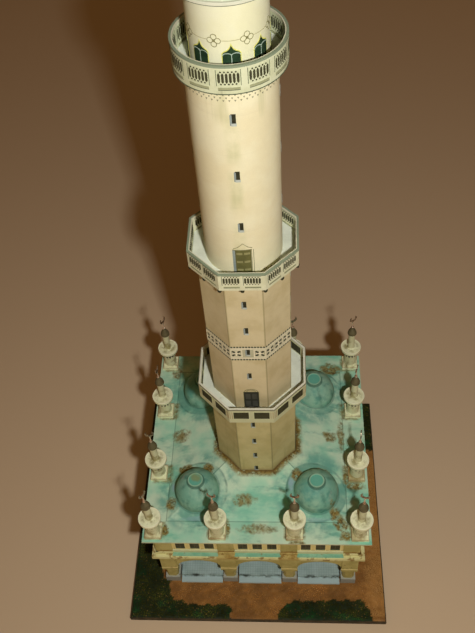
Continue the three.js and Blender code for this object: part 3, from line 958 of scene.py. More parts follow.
wall_paint = card("base_walls", "bfb777", "a29a58", 0.75, 130.0, 0.07, [
    (both(beside("Square", 0, WALL_FACE + 0.2, 0.02), belt(COURSE_TOP, 70, 0.05)), "e3d592"),
    (belt(CAPITAL_TOP - 0.55, CAPITAL_TOP + 0.1, 0.05, 0, 0.9), "efe3a6"),
    (belt(0, FOOT_TOP + 0.05, 0.05), "9aa09a"),
    # painted light: the tops of the foot blocks are lighter than their sides
    (both(painted_light_on_tops, belt(FOOT_TOP - 0.2, FOOT_TOP + 0.2, 0.05)), "aab0a6"),
    (streaked(0.38, 520.0), "7d6a38"),
    (stained(0.36, 330.0, 0.06, 0.7, 0.7), "6b5426"),
    (belt(COURSE_TOP - 0.3, COURSE_TOP + 2.6, 0.6, 3.0, 0.7), "8a6226"),
])
for side in ("front", "right", "back", "left"):
    finish_node(f"{side}_wall", wall_paint)
course_paint = card("string_course_card", "e0e0a8", "cfc98a", 0.6, 150.0, 0.06, [
    (beside("Along", BAY / 2, 4.5, 1.2, 0.8), "bba65e"),
    (stained(0.46, 240.0, 0.08, 1.4, 0.8), "8a6a30"),
    (both(beside("Along", BAY / 2, 4.5, 2.0), belt(COURSE_TOP - 1, 60, 0.3),
          stained(0.58, 300.0, 0.25, 0.0, 0.75)), "8f6c2a"),
    (belt(COURSE_LOW - 0.2, COURSE_LOW + 0.5, 0.1, 0, 0.5), "96844a"),
])
finish_node("string_course", course_paint)
finish_node("arcade_ceiling", card("ceiling_card", "b5ab86", "a1956d", 0.5))
print("wall face at", WALL_FACE, "mm")

# %% [markdown]
# Above the string course each side has three bays of three printed windows, a sill below them and a
# strip of green copper on top of the course. They are thin inlays, repeated over the bays and the sides.
# Small blocks at the feet of the pilasters stand between the bays.

# %% Windows of the base
BAY_HALF = 11.8
WINDOW_PITCH, WINDOW_LOW, WINDOW_HIGH, WINDOW_HALF, WINDOW_BAR = 7.45, 46.9, 57.9, 2.4, 54.0
FRAME_WIDE, BAR_HALF, CROSSBAR_HALF, TINT_TALL = 0.5, 0.09, 0.1, 0.7
SILL_LOW, SILL_HIGH, SILL_PROUD, FLASHING_BACK = 43.45, 46.0, 0.8, 0.7
PILASTER_HALF, PILASTER_FOOT, PILASTER_FOOT_PROUD = 4.5, 1.5, 0.75
window_dark = card("window_dark", "3d3c28", "55533a", 0.8, 300.0, 0.1)
window_bars = card("window_bars", "6d6a4c", "5c583c", 0.6, 300.0, 0.08)
cream_line = card("cream_line", "eadf9f", "d8c987", 0.5, 200.0, 0.05)
sill_card = card("sill_card", "d6dcb4", "c6c896", 0.5, 200.0, 0.06)
teal_shade = card("teal_shade", "5b7666", "6f8c72", 0.6, 300.0, 0.08)
ledge_copper = card("ledge_copper", "7ab79c", "98c6aa", 0.8, 220.0, 0.08, [
    (stained(0.4, 300.0, 0.08, 2.2, 0.8), "8a6f35")])

panes, frames, bars, tints = [], [], [], []
for k in (-1, 0, 1):
    centre = k * WINDOW_PITCH
    left, right = centre - WINDOW_HALF, centre + WINDOW_HALF
    panes.append(rectangle(left, right, WINDOW_LOW, WINDOW_HIGH, proud=0.08))
    frames.append(frame_lines(left, right, WINDOW_LOW, WINDOW_HIGH, FRAME_WIDE, proud=0.16))
    bars.append(rectangle(centre - BAR_HALF, centre + BAR_HALF, WINDOW_LOW, WINDOW_HIGH, proud=0.12))
    bars.append(rectangle(left, right, WINDOW_BAR - CROSSBAR_HALF, WINDOW_BAR + CROSSBAR_HALF, proud=0.1))
    tints.append(rectangle(left, right, WINDOW_LOW, WINDOW_LOW + TINT_TALL, proud=0.11))
flashing_out = COURSE_HALF - FLASHING_BACK - WALL_FACE
flashing = block((-BAY_HALF, -flashing_out, COURSE_TOP - 0.05), (BAY_HALF, -0.2, COURSE_TOP + 0.12))
sill = rectangle(-BAY_HALF, BAY_HALF, SILL_LOW, SILL_HIGH, proud=SILL_PROUD)
for name, shapes, material, slot in (
    ("base_window_panes", panes, window_dark, "walls"), ("base_window_frames", frames, cream_line, "trim"),
    ("base_window_bars", bars, window_bars, "trim"), ("base_window_tints", tints, teal_shade, "walls"),
    ("base_sills", [sill], sill_card, "trim"), ("course_flashing", [flashing], ledge_copper, "roof"),
):
    print_ring(name, shapes, material, slot, WALL_FACE, sides=4, row=3, spacing=BAY)
foot = block((-PILASTER_HALF, WALL_FACE - PILASTER_FACE - PILASTER_FOOT_PROUD, COURSE_TOP - 0.1),
             (PILASTER_HALF, 0, COURSE_TOP + PILASTER_FOOT))
print_ring("pilaster_feet", [foot], course_paint, "trim", WALL_FACE, sides=4, row=4, spacing=BAY)

# %% [markdown]
# The roof is printed as weathered copper: pale mint with teal washes in soft strokes and a few dark
# smudges, a thin line along the fold and from the tower to the domes, a ring round each dome, and rust
# where a turret or the tower stands on it. Folded distances place that on the four quarters at once, and
# noise keeps the quarters from looking alike. The larger patches of rust, and a few bluish ones, have
# uneven outlines and lie where the photograph shows them.

# %% Copper roof
ROOF_FOLD, TOWER_HALF, TURRET_CORNER, TURRET_INNER, STRIP_MIDDLE = 45.2, 19.8, 50.9, 19.0, 49.0
DOME_RADIUS, DOME_RING, HIP_END = 11.2, 15.0, 30.0
PATCHES = [(-41, 3, 5, 4, 0.7), (-6, -35, 6, 3, 0.75), (1, -49, 9, 2.5, 0.65), (38, 2, 4, 3, 0.8),
           (44, 4, 2, 8, 0.7), (40, 47, 6, 4, 0.85), (-37, -18, 4, 3, 1.0), (-25, -18.5, 3, 3, 1.0),
           (-43.5, -36, 2.5, 4, 1.0), (20.5, -22, 3, 3, 0.95), (33, -19, 4, 2, 0.7),
           (39, -40.5, 2.5, 3.5, 1.0), (42, -46, 3.5, 4, 1.0), (44, -52, 3, 3, 1.0),
           (-45.5, -50, 2, 4, 1.0), (-14.5, -49, 1.6, 3.5, 1.0), (45.5, -21, 1.5, 4, 0.9),
           (50.5, -25.5, 5, 2, 1.0), (20, -56, 4, 1.5, 0.8), (-47, 45, 3, 5, 0.7)]
BLUE_PATCHES = [(17.4, -26.9, 1.6, 3, 0.9), (-43, -27, 1.2, 2.5, 0.8), (-30, -44, 7, 1.2, 0.5),
                (30, -44, 7, 1.2, 0.4)]
rust_places = patches(PATCHES)
turret_strip = beside("Square", STRIP_MIDDLE, 3.6, 2.4)
turret_places = [both(turret_strip, beside("Along", place, 4.4, 1.6, 0.6))
                 for place in (TURRET_INNER, TURRET_CORNER)]
roof_paint = card("copper_roof", "cfead0", "a8dfc5", 1.0, 62.0, 0.05, [
    (stained(0.52, 70.0, 0.22, 0.9, 0.85, 0.5), "72c6ac"),
    (both(beside("Dome", 14.0, 4.0, 6.0), stained(0.62, 90.0, 0.25, 5.0, 0.8)), "62aa9c"),
    (stained(0.44, 130.0, 0.18, 3.1, 0.7, 0.4), "4fa494"),
    (stained(0.42, 120.0, 0.25, 4.2, 0.6, 0.35), "e0ead6"),
    (stained(0.36, 160.0, 0.12, 6.2, 0.6, 0.4), "3f8074"),
    (both(beside("Dome", 13.1, 1.9, 0.6), stained(0.66, 80.0, 0.3, 7.4, 0.75)), "6da695"),
    (patches(BLUE_PATCHES), "92b4be"),
    (both(beside("Dome", DOME_RING, 0.1, 0.8, 0.6), stained(0.58, 110.0, 0.25, 2.9)), "3f7468"),
    # painted shade: a dark line round the foot of each dome, where it meets the roof
    (beside("Dome", DOME_RADIUS, 0.3, 0.5, 0.4), "33594c"),
    (beside("Square", ROOF_FOLD, 0.1, 0.15, 0.6), "3f6a5c"),
    (both(beside("Hip", 0, 0.15, 0.4, 0.6), beside("Square", 0, HIP_END, 0.1)), "3f7a66"),
    *rusted(either(rust_places, beside("Octagon", TOWER_HALF, 1.2, 3.0), *turret_places)),
    (both(beside("Octagon", TOWER_HALF, 0.6, 1.1), stained(0.68, 420.0, 0.15, 6.1, 0.9)), "6a5220"),
    (belt(60, ROOF_TOP - 0.08, 0.05, 0, 0.8), "cfc8a4"),
])
finish_node("roof", roof_paint)
print("roof fold at", ROOF_FOLD, "mm")

# %% [markdown]
# The corner domes are made of gores, long leaves of card that meet in seams. A turned mesh is smooth, so
# its radius dips a little at each of the eight seams. The cap is a small drum with a pale rim. A dark ring
# round the foot of the cap, and a dark line broken by noise round the foot of the dome, are painted shade
# where the parts meet. The solid domes of the imported model have the same size, and these finer ones
# stand for them.

# %% Corner domes
DOME_CENTRE, CAP_RADIUS, CAP_TOP, SEAM_DIP = 70.0, 3.9, 81.8, 0.14
DOME_SUNK, UNDER_CAP = 1.5, 0.3
PER_GORE, DOME_ROWS = 5, 12


def gored_dome():
    sides = GORES * PER_GORE
    low = math.asin((ROOF_TOP - DOME_SUNK - DOME_CENTRE) / DOME_RADIUS)
    high = math.acos((CAP_RADIUS - UNDER_CAP) / DOME_RADIUS)
    points, faces = [], []
    for row in range(DOME_ROWS + 1):
        angle = low + (high - low) * row / DOME_ROWS
        for side in range(sides):
            dip = SEAM_DIP if side % PER_GORE == 0 else 0.0
            around = 2 * math.pi * side / sides + HALF_GORE
            reach = (DOME_RADIUS - dip) * math.cos(angle)
            points.append((reach * math.cos(around), reach * math.sin(around),
                           DOME_CENTRE + DOME_RADIUS * math.sin(angle)))
    for row in range(DOME_ROWS):
        for side in range(sides):
            a, b = row * sides + side, row * sides + (side + 1) % sides
            faces.append([a, b, b + sides, a + sides])
    faces.append(list(range(sides - 1, -1, -1)))
    faces.append([DOME_ROWS * sides + side for side in range(sides)])
    return points, faces


cap_foot = DOME_CENTRE + math.sqrt(DOME_RADIUS**2 - CAP_RADIUS**2) - 0.6
cap_drum = turned([
    (0, cap_foot), (CAP_RADIUS, cap_foot), (CAP_RADIUS, CAP_TOP - 0.25), (CAP_RADIUS - 0.15, CAP_TOP),
    (CAP_RADIUS - 0.7, CAP_TOP), (CAP_RADIUS - 0.85, CAP_TOP - 0.22), (0, CAP_TOP - 0.22),
], 32)
outside_cap = beside("Dome", DOME_RADIUS, DOME_RADIUS - CAP_RADIUS - 0.2, 0.3)
dome_paint = card("copper_dome", "96c2ac", "78b29e", 0.9, 120.0, 0.06, [
    (stained(0.5, 100.0, 0.2, 5.3, 0.75), "5aa59a"),
    (stained(0.42, 130.0, 0.15, 1.3, 0.6), "a8b3a2"),
    (stained(0.5, 150.0, 0.2, 8.8, 0.6), "3f857d"),
    (both(beside("Seam", 0, 0.15, 1.6, 0.6), stained(0.6, 160.0, 0.3, 2.4), outside_cap), "2f6a60"),
    (beside("Dome", 0.0, CAP_RADIUS - 0.8, 0.1, 0.85), "60b3a0"),
    (beside("Dome", CAP_RADIUS - 0.4, 0.35, 0.05, 0.8), "9ac9ae"),
    # painted shade: a dark ring round the foot of the cap
    (beside("Dome", CAP_RADIUS + 0.3, 0.25, 0.3, 0.65), "2c5648"),
    # painted shade: a dark line, broken by noise, round the foot of the dome where it meets the roof
    (both(beside("Dome", DOME_RADIUS, 0.1, 0.3, 0.3), stained(0.6, 120.0, 0.25, 3.2)), "2f4f40"),
    (patches([(-30, -29, 3, 2.4, 0.7)]), "8f9258"),
    *rusted(rust_places),
])
for row, y in (("front", -DOME_PLACE), ("back", DOME_PLACE)):
    for side, x in (("left", -DOME_PLACE), ("right", DOME_PLACE)):
        dome = new_piece(f"gored_dome_{row}_{side}", *moved(joined([gored_dome(), cap_drum]), x, y))
        smooth(dome, 30)
        dress(dome, dome_paint, "roof", f"dome_{row}_{side}")

# %% [markdown]
# Twelve turrets stand on the edge of the roof, all cut to one pattern: a square plinth, a short drum, a
# cone that flares to a disc, a slim shaft, a dark cone, a bead and a crescent bent from sheet. Each part
# is modelled once at the origin and stood on the twelve places. The crescents don't all face the same
# way, because they were pushed in by hand, so every place stores a turn. Every point also stores its
# distance from the turret's own axis, so that stains can gather round the shaft.

# %% Places of the turrets
CRESCENT_TURNS = [55, 8, 80, 62, -12, 15, -6, 20, -14, 84, 70, 35]
NUMBERS = [f"{i + 1:02d}" for i in range(12)]
ROWS = (-TURRET_CORNER, -TURRET_INNER, TURRET_INNER, TURRET_CORNER)
PLACES = [(x, y, ROOF_TOP) for x in ROWS for y in ROWS if TURRET_CORNER in (abs(x), abs(y))]


def stand(name, shape, material, slot, turns=None, angle=35.0, replaced=()):
    """Stands the shape on the twelve places."""
    sample = new_piece(name + "_pattern", *shape)
    smooth(sample, angle)
    store(sample, "reach", [math.hypot(x, y) for x, y, _ in shape[0]])
    piece = new_piece(name, PLACES, [])
    store(piece, "turn", [math.radians(value) for value in (turns or [0] * len(PLACES))])
    grow(piece, stand_tree, Piece=sample, Material=material)
    bpy.data.objects.remove(sample)
    return dress(piece, material, slot, *replaced)


print("turrets:", len(PLACES))

# %% [markdown]
# The plinth and the drum are cream card with brown stains at the foot. The plinths along the front have
# darker brownish patches towards their left, and one plinth on the right side has a larger one. The drum
# and the flared cone under the disc are painted darker, which is painted shade under the disc. The disc is
# a closed lid on the flared cone, and its rim catches the light, so the profile keeps a small step there;
# the side and the top edge of the rim are also painted a little paler, which is painted highlight. One
# turned profile gives drum, cone, disc and shaft, because they are glued into one column.

# %% Bodies of the turrets
PLINTH_HALF, PLINTH_EDGE, STEP_HALF, PLINTH_TOP = 4.2, 1.95, 3.75, 2.4
DRUM_HALF, FLARE_FOOT, FLARE_TOP, DISC, DISC_TOP = 3.3, 12.4, 14.8, 5.5, 16.7
SHAFT_FOOT, SHAFT_HEAD, SHAFT_TOP, TURRET_SIDES = 1.8, 1.7, 28.7, 28
DARKER_PLINTHS = [(x - 1.5, -TURRET_CORNER, 4.5, 5.5, 0.7) for x in ROWS]
DARKER_PLINTHS.append((TURRET_CORNER, -TURRET_INNER, 6, 6, 0.9))


def over_roof(low, high, *settings):
    """A belt between two heights over the roof."""
    return belt(ROOF_TOP + low, ROOF_TOP + high, *settings)


plinth = joined([
    block((-PLINTH_HALF, -PLINTH_HALF, -0.05), (PLINTH_HALF, PLINTH_HALF, PLINTH_EDGE)),
    block((-STEP_HALF, -STEP_HALF, PLINTH_EDGE - 0.05), (STEP_HALF, STEP_HALF, PLINTH_TOP)),
])
column = turned([
    (0, 2.2), (DRUM_HALF + 0.25, 2.2), (DRUM_HALF + 0.25, 2.8), (DRUM_HALF, 3.1), (DRUM_HALF, FLARE_FOOT),
    (DISC - 0.1, FLARE_TOP), (DISC, FLARE_TOP + 0.15), (DISC, DISC_TOP - 0.2), (DISC - 0.15, DISC_TOP),
    (DISC - 0.5, DISC_TOP), (DISC - 0.6, DISC_TOP - 0.12), (SHAFT_FOOT + 0.35, DISC_TOP - 0.12),
    (SHAFT_FOOT + 0.1, DISC_TOP + 0.3), (SHAFT_FOOT, DISC_TOP + 0.6), (SHAFT_HEAD, SHAFT_TOP),
    (0, SHAFT_TOP),
], TURRET_SIDES)
turret_card = card("turret_card", "f6fdd8", "e6e9be", 0.7, 260.0, 0.05, [
    # darker brownish patches on the plinths along the front, towards their left, and on one on the right
    (both(patches(DARKER_PLINTHS), over_roof(-1, 3, 0.4)), "a39258"),
    # painted highlight: the side of the disc's rim and its top edge are a little paler
    (over_roof(FLARE_TOP + 0.1, DISC_TOP - 0.15, 0.05, 0, 0.4), "fafcdc"),
    (over_roof(DISC_TOP - 0.1, DISC_TOP + 0.1, 0.02, 0, 0.6), "fdffe4"),
    # painted shade: the drum and the flared cone under the disc are darker
    (over_roof(3.3, FLARE_TOP - 0.1, 0.3, 0, 0.4), "b3ac80"),
    (over_roof(DISC_TOP + 0.6, SHAFT_TOP, 0.6, 0, 0.5), "aaa47c"),
    (both(stored("reach", 5.3, 2.8), over_roof(DISC_TOP - 0.3, DISC_TOP + 4, 4),
          stained(0.6, 240.0, 0.25, 2.9, 0.8)), "857b3c"),
    (both(stained(0.52, 250.0, 0.2, 2.9, 0.7), over_roof(-1, FLARE_FOOT, 1.5)), "8a7a3e"),
])
stand("turret_bodies", joined([plinth, column]), turret_card, "turret",
      replaced=[f"turret_{number}" for number in NUMBERS])

# %% [markdown]
# Three rows of printed teeth run round each turret: dark triangles on the flared cone and below it on
# the drum, and smaller ones that hang below the dark cap. A thin reddish line frames the plinth. The
# teeth are bent round a tube like all the prints, and then moved so that the tube's axis is the turret's
# own.

# %% Teeth and lines of the turrets
PLINTH_LINE, DRUM_TEETH, FLARE_TEETH = 0.2, 12, 16
print_dark = card("print_dark", "2b2c1c", "3c3c27", 0.7, 500.0, 0.1)
plinth_line_card = card("plinth_line_card", "b08f6a", "a07e55", 0.5, 400.0, 0.05)


def round_the_axis(count, foot, tip, radius, width, **thickness):
    """Triangles side by side on a tube, as a shape with its axis at the origin."""
    step = 2 * math.pi * radius / count
    row = joined([triangle((i + 0.5) * step, foot, tip, step * width, **thickness) for i in range(count)])
    return moved(bent(row, radius), y=-radius)


def on_the_flare(shape):
    """Spreads a ring of teeth so that it lies on the cone under the disc."""
    points = []
    for x, y, z in shape[0]:
        share = (z - FLARE_FOOT) / (FLARE_TOP - FLARE_FOOT)
        grown = (DRUM_HALF + (DISC - 0.1 - DRUM_HALF) * share) / DRUM_HALF
        points.append((x * grown, y * grown, z))
    return points, shape[1]


drum_teeth = round_the_axis(DRUM_TEETH, FLARE_FOOT - 0.3, FLARE_FOOT - 2.6, DRUM_HALF, 1.0)
flare_teeth = on_the_flare(round_the_axis(FLARE_TEETH, FLARE_TOP - 0.05, FLARE_FOOT + 0.5, DRUM_HALF, 0.9))
cap_teeth = round_the_axis(DRUM_TEETH, SHAFT_TOP - 0.02, SHAFT_TOP - 0.8, SHAFT_HEAD, 1.0, proud=0.1)
stand("turret_teeth", joined([drum_teeth, flare_teeth, cap_teeth]), print_dark, "turret")
far, near = PLINTH_HALF, PLINTH_HALF - PLINTH_LINE
plinth_lines = [block((x0, y0, PLINTH_EDGE - 0.02), (x1, y1, PLINTH_EDGE + 0.05)) for x0, y0, x1, y1 in (
    (-far, -far, far, -near), (-far, near, far, far), (-far, -near, -near, near),
    (near, -near, far, near))]
stand("turret_plinth_lines", joined(plinth_lines), plinth_line_card, "turret")

# %% [markdown]
# Each turret ends in a cone of dark brown-grey card, a polished bead and a thin rod with a crescent of
# dull metal. The cone swells like a bud, so its profile is a curve. The crescent is a ribbon between an
# outer circle and a smaller one that is set higher, which gives it two horns. The bead alone is
# polished, and it shows as one bright point.

# %% Cones, beads and crescents of the turrets
CONE, CONE_TOP, BEAD, BEAD_CENTRE, ROD, MOON, MOON_CENTRE = 2.4, 33.4, 0.8, 34.1, 0.3, 2.2, 40.8
HORN_ANGLE, HORN_WIDTH, WAIST, MOON_THICK, METALLIC = 54.0, 0.12, 0.55, 0.4, 0.9
CONE_SHARES = [(1, 0), (0.99, 0.12), (0.92, 0.3), (0.8, 0.48), (0.63, 0.66), (0.4, 0.84), (0.2, 0.95),
               (0.12, 1)]


def metal(name, paint, dull, roughness, bump=0.3):
    """Thin sheet metal with a darker tarnish in patches."""
    material, tree = new_material(name)
    tarnish = mask_of(tree, stains, size_scale=700.0, cover=0.5, softness=0.15)
    rough = between(tree, noise(tree, 900.0, here(tree)), 0.3, 0.7, roughness, roughness + 0.15)
    set_surface(tree, {"Base Color": blend_colours(tree, tarnish, colour(paint), colour(dull)),
                       "Roughness": rough, "Metallic": METALLIC,
                       "Normal": relief(tree, noise(tree, 2500.0, here(tree)), bump, 0.05)})
    return material


def crescent(radius, thick, steps=18):
    """A crescent that opens upwards and is widest at the foot."""
    pairs = []
    for i in range(steps + 1):
        share = i / steps
        angle = math.radians(180 - HORN_ANGLE + (180 + 2 * HORN_ANGLE) * share)
        width = radius * WAIST * math.sin(math.pi * share) ** 0.8 + HORN_WIDTH
        pairs.append([(r * math.cos(angle), r * math.sin(angle)) for r in (radius, radius - width)])
    return ribbon(pairs, proud=thick / 2, sunk=thick / 2)


lead_card = card("lead_card", "6b6448", "575138", 0.8, 400.0, 0.1, [
    (stained(0.4, 500.0, 0.1, 1.1, 0.5), "756e54")])
swelling = [(CONE * wide, SHAFT_TOP + (CONE_TOP - SHAFT_TOP) * tall) for wide, tall in CONE_SHARES]
cone_foot = [(0, SHAFT_TOP - 0.05), (CONE - 0.05, SHAFT_TOP - 0.05)]
cone = turned(cone_foot + swelling + [(0, CONE_TOP)], TURRET_SIDES)
stand("turret_cones", cone, lead_card, "cap")
bead_metal = metal("bead_metal", "fdeee4", "e8c2aa", 0.14, 0.02)
crescent_metal = metal("crescent_metal", "b9a894", "665642", 0.35)
polar = [math.radians(degrees) for degrees in range(25, 165, 20)]
ball = [(BEAD * math.sin(angle), BEAD_CENTRE - BEAD * math.cos(angle)) for angle in polar]
rod_top = MOON_CENTRE - MOON + 0.1
bead = turned([(0, ball[0][1])] + ball + [(ROD, BEAD_CENTRE + BEAD), (ROD, rod_top), (0, rod_top)], 16)
stand("turret_beads", bead, bead_metal, "finial", angle=60)
stand("turret_crescents", moved(crescent(MOON, MOON_THICK), z=MOON_CENTRE), crescent_metal, "finial",
      CRESCENT_TURNS, 60, [f"turret_cap_{number}" for number in NUMBERS])

# %% [markdown]
# The tower has two eight-sided storeys and two round ones. The flat sides are right as they come, so
# they keep their solids and get a tan print with rain streaks and a dark fold at each corner. The round
# storeys are rolled card, so smooth tubes stand for their many-sided solids. On the upper storey a pale
# olive wash runs down below each printed window.

# %% Tower storeys
HIGH_APOTHEM, ROUND_RADIUS, DRUM_RADIUS, TUBE_WALL = 17.9, 15.0, 12.55, 1.0
LOW_WINDOWS, MIDDLE_WINDOWS = (117.2, 102.3, 88.4, 75.2), (203.5, 186.9, 172.2, 154.9)
UPPER_WINDOWS = (289.7, 266.7, 243.1)
WASH_BELOW, WASH_LONG = 2.5, 12.0
narrow = both(beside("Along", 0.8, 0.1, 2.4, 0.6), stained(0.8, 150.0, 0.6, 4.4))
washes = [(both(narrow, belt(z - WASH_BELOW - WASH_LONG, z - WASH_BELOW, WASH_LONG / 2)), "bdc08c")
          for z in UPPER_WINDOWS]
low_paint = card("tower_low_card", "cdc38f", "bbb07a", 0.8, 75.0, 0.05, [
    (both(streaked(0.42, 330.0), belt(68, 130, 30)), "aca56f"),
    (stained(0.4, 120.0, 0.2, 2.0, 0.3), "a4a26c"),
    (beside("Fold", 0.0, 0.15, 0.35, 0.6), "8a8258"),
    (belt(60, 73, 3, 6, 0.35), "a4945e"),
    (both(belt(60, 70.6, 0.5, 6), stained(0.62, 500.0, 0.1)), "7a5f2a"),
])
middle_paint = card("tower_middle_card", "d8cca5", "c8ba8e", 0.8, 75.0, 0.05, [
    (both(streaked(0.42, 330.0), belt(130, 216, 30)), "c4b58a"),
    (stained(0.4, 120.0, 0.2, 4.0, 0.3), "bfb88c"),
    (beside("Fold", 0.0, 0.12, 0.3, 0.6), "8f855c"),
])
upper_paint = card("tower_upper_card", "eeeac9", "e7deb7", 0.7, 60.0, 0.04, [
    (both(streaked(0.36, 260.0), belt(217, 303, 40)), "e2d7b0"),
    (stained(0.36, 90.0, 0.25, 1.0, 0.35), "e2d7b0"),
    # fine level darker lines: painted shade that stands for creases in the rolled card
    (crease_shade(0.42, 500.0, 0.25), "c9bd98"),
    (both(belt(291, 302, 5), streaked(0.5, 200.0)), "cfcda4"),
] + washes)
drum_paint = card("drum_card", "e7e9cc", "e2e2ba", 0.6, 80.0, 0.03, [
    (stained(0.35, 110.0, 0.2, 3.0, 0.3), "e4dcb0")])
finish_node("tower_shaft_lower", low_paint)
finish_node("tower_shaft_middle", middle_paint)
for node, name, radius, material in (
    ("tower_shaft_upper", "rolled_shaft", ROUND_RADIUS, upper_paint),
    ("lantern_drum", "rolled_drum", DRUM_RADIUS, drum_paint),
):
    low, high = heights_of(node)
    tube = [(radius, low), (radius, high), (radius - TUBE_WALL, high), (radius - TUBE_WALL, low)]
    rolled(name, tube, material, "tower_high", node, loop=True)

# %% [markdown]
# The windows of the tower are printed: a dark opening with a grey-blue reveal on the left and a sill
# below. They climb one above the other on four sides. Each window is three thin plates, and the ring
# tree repeats the column of windows. The upper storey was glued on with a small turn, and its windows
# and door share that turn.

# %% Windows of the tower
REVEAL_LEFT, WINDOW_SIDE, WINDOW_TALL, WINDOW_SILL, UPPER_TURN = 1.15, 0.8, 1.85, 1.2, 3.0
SILL_ENDS = (-0.75, 0.95)
reveal = card("window_reveal", "8b9a9c", "a3aea8", 0.5, 300.0, 0.06)
sill_grey = card("window_sill", "c2ccc6", "a9b4ab", 0.5, 300.0, 0.06)


def tower_window(z):
    """The dark opening, the reveal and the sill of a window round the height z."""
    low, high = z - WINDOW_TALL, z + WINDOW_TALL
    return (
        rectangle(-WINDOW_SIDE, WINDOW_SIDE, low, high, proud=0.09),
        rectangle(-REVEAL_LEFT, -WINDOW_SIDE + 0.3, low - 0.6, high - 0.3, proud=0.11),
        rectangle(*SILL_ENDS, low - WINDOW_SILL + 0.3, low + 0.2, proud=0.12),
    )


for name, heights, distance, slot, turn in (
    ("lower", LOW_WINDOWS, TOWER_HALF, "tower_low", 0),
    ("middle", MIDDLE_WINDOWS, HIGH_APOTHEM, "tower_low", 0),
    ("upper", UPPER_WINDOWS, ROUND_RADIUS, "tower_high", UPPER_TURN),
):
    openings, reveals, sills = zip(*[tower_window(z) for z in heights])
    print_all([
        (f"{name}_window_openings", openings, print_dark), (f"{name}_window_reveals", reveals, reveal),
        (f"{name}_window_sills", sills, sill_grey),
    ], slot, distance, sides=4, first=turn, is_round=turn > 0)

# %% [markdown]
# Each gallery has a door on the front and on the back. The one above the first floor is dark, with two
# rows of panels and a flat lunette over it. The one above the second floor is olive, with six light
# bands, a grey jamb on the left and a thin pointed hood.

# %% Doors of the tower
FIRST_DOOR, FIRST_HALF, SECOND_DOOR, DOOR_HALF, JAMB = 12.3, 3.3, 13.5, 2.95, 1.0
PANEL_HALF, PANEL_TALL, BAND_TALL, LUNETTES, LUNETTE_RISE = 1.1, 4.2, 1.1, (2.9, 1.9), 0.6
HOOD = [(-3.6, 14.2), (-1.8, 15.2), (0, 17.0), (1.8, 15.2), (3.4, 14.4)]
first_floor, second_floor = heights_of("gallery_1_floor")[1], heights_of("gallery_2_floor")[1]
door_grey = card("door_grey", "393b33", "2f3129", 0.7, 260.0, 0.1)
door_panel = card("door_panel_grey", "505249", "43453c", 0.8, 300.0, 0.1)
door_olive = card("door_olive", "6d6b3e", "5b5a33", 0.7, 300.0, 0.08)
door_light = card("door_light", "9a9768", "87845a", 0.7, 300.0, 0.08)
hood_line = card("hood_line", "85845c", "75754f", 0.5, 300.0, 0.05)


def panels_on_door(places, heights, tall, cells=1, **thickness):
    return [rectangle(x - PANEL_HALF, x + PANEL_HALF, z, z + tall, cells, **thickness)
            for x in places for z in heights]


first_leaf = (-FIRST_HALF, FIRST_HALF, first_floor, first_floor + FIRST_DOOR)
first_panels = panels_on_door((-1.5, 1.5), (first_floor + 0.9, first_floor + 6.6), PANEL_TALL, proud=0.11)
head = first_floor + FIRST_DOOR + 0.4
lunette = [line(flat_arch(0, head, radius, LUNETTE_RISE, 12), 0.3, proud=0.1) for radius in LUNETTES]
print_all([
    ("first_door", [rectangle(*first_leaf, proud=0.08)], door_grey),
    ("first_door_panels", first_panels, door_panel),
    ("first_door_frame", lunette + [frame_lines(*first_leaf, 0.2, proud=0.1)], hood_line),
], "tower_low", HIGH_APOTHEM, sides=2)

door_top = second_floor + SECOND_DOOR
leaf = [rectangle(-DOOR_HALF, DOOR_HALF, second_floor, door_top, 8, proud=0.08)]
bands = panels_on_door((-1.4, 1.4), [second_floor + z for z in (2.6, 6.9, 11.2)], BAND_TALL, 4, proud=0.1)
jamb = [rectangle(-DOOR_HALF - JAMB, -DOOR_HALF, second_floor, door_top, 2, proud=0.1)]
thin = [rectangle(-DOOR_HALF - JAMB, DOOR_HALF + 0.3, door_top, door_top + 0.3, 8, proud=0.1)]
thin += [rectangle(x, x + 0.18, second_floor, door_top, proud=0.1)
         for x in (DOOR_HALF + 0.1, DOOR_HALF + 0.8)]
thin.append(line([(x, second_floor + z) for x, z in HOOD], 0.24, proud=0.08))
print_all([
    ("second_door", leaf, door_olive), ("second_door_bands", bands, door_light),
    ("second_door_jamb", jamb, reveal), ("second_door_lines", thin, hood_line),
], "tower_high", ROUND_RADIUS, sides=2, first=UPPER_TURN, is_round=True)

# %% [markdown]
# A frieze runs round the middle storey: dashed borders, pale lines inside them and rosettes, each a pale
# cross with four dark leaves in a pale square. On the four sides that have windows the middle rosette is
# left out. A second ring that is turned by an eighth prints it on the other four.

# %% Frieze
FRIEZE_LOW, FRIEZE_HIGH, DASHES, DASH_HALF, STRIPE_TALL = 166.9, 175.9, 12, 0.34, 0.9
DASH_ROWS, LINE_ROWS = (FRIEZE_HIGH - 0.6, FRIEZE_LOW - 0.3), (FRIEZE_HIGH - 1.65, FRIEZE_LOW + 0.75)
LEAF_IN, LEAF_OUT, LEAF_WIDE, SQUARE, ARM, ARM_WIDE = 0.6, (1.7, 1.6), 0.95, 2.1, 1.6, 0.7
SIDE = 2 * HIGH_APOTHEM * math.tan(HALF_SIDE)
centre = (FRIEZE_LOW + FRIEZE_HIGH) / 2
frieze_pale = card("frieze_pale", "ece6ca", "dcd8ba", 0.6, 260.0, 0.06)
frieze_grey = card("frieze_grey", "bcbb9c", "c6c5a8", 0.6, 260.0, 0.06)
frieze_dark = card("frieze_dark", "363b2f", "474c3b", 0.6, 300.0, 0.08)

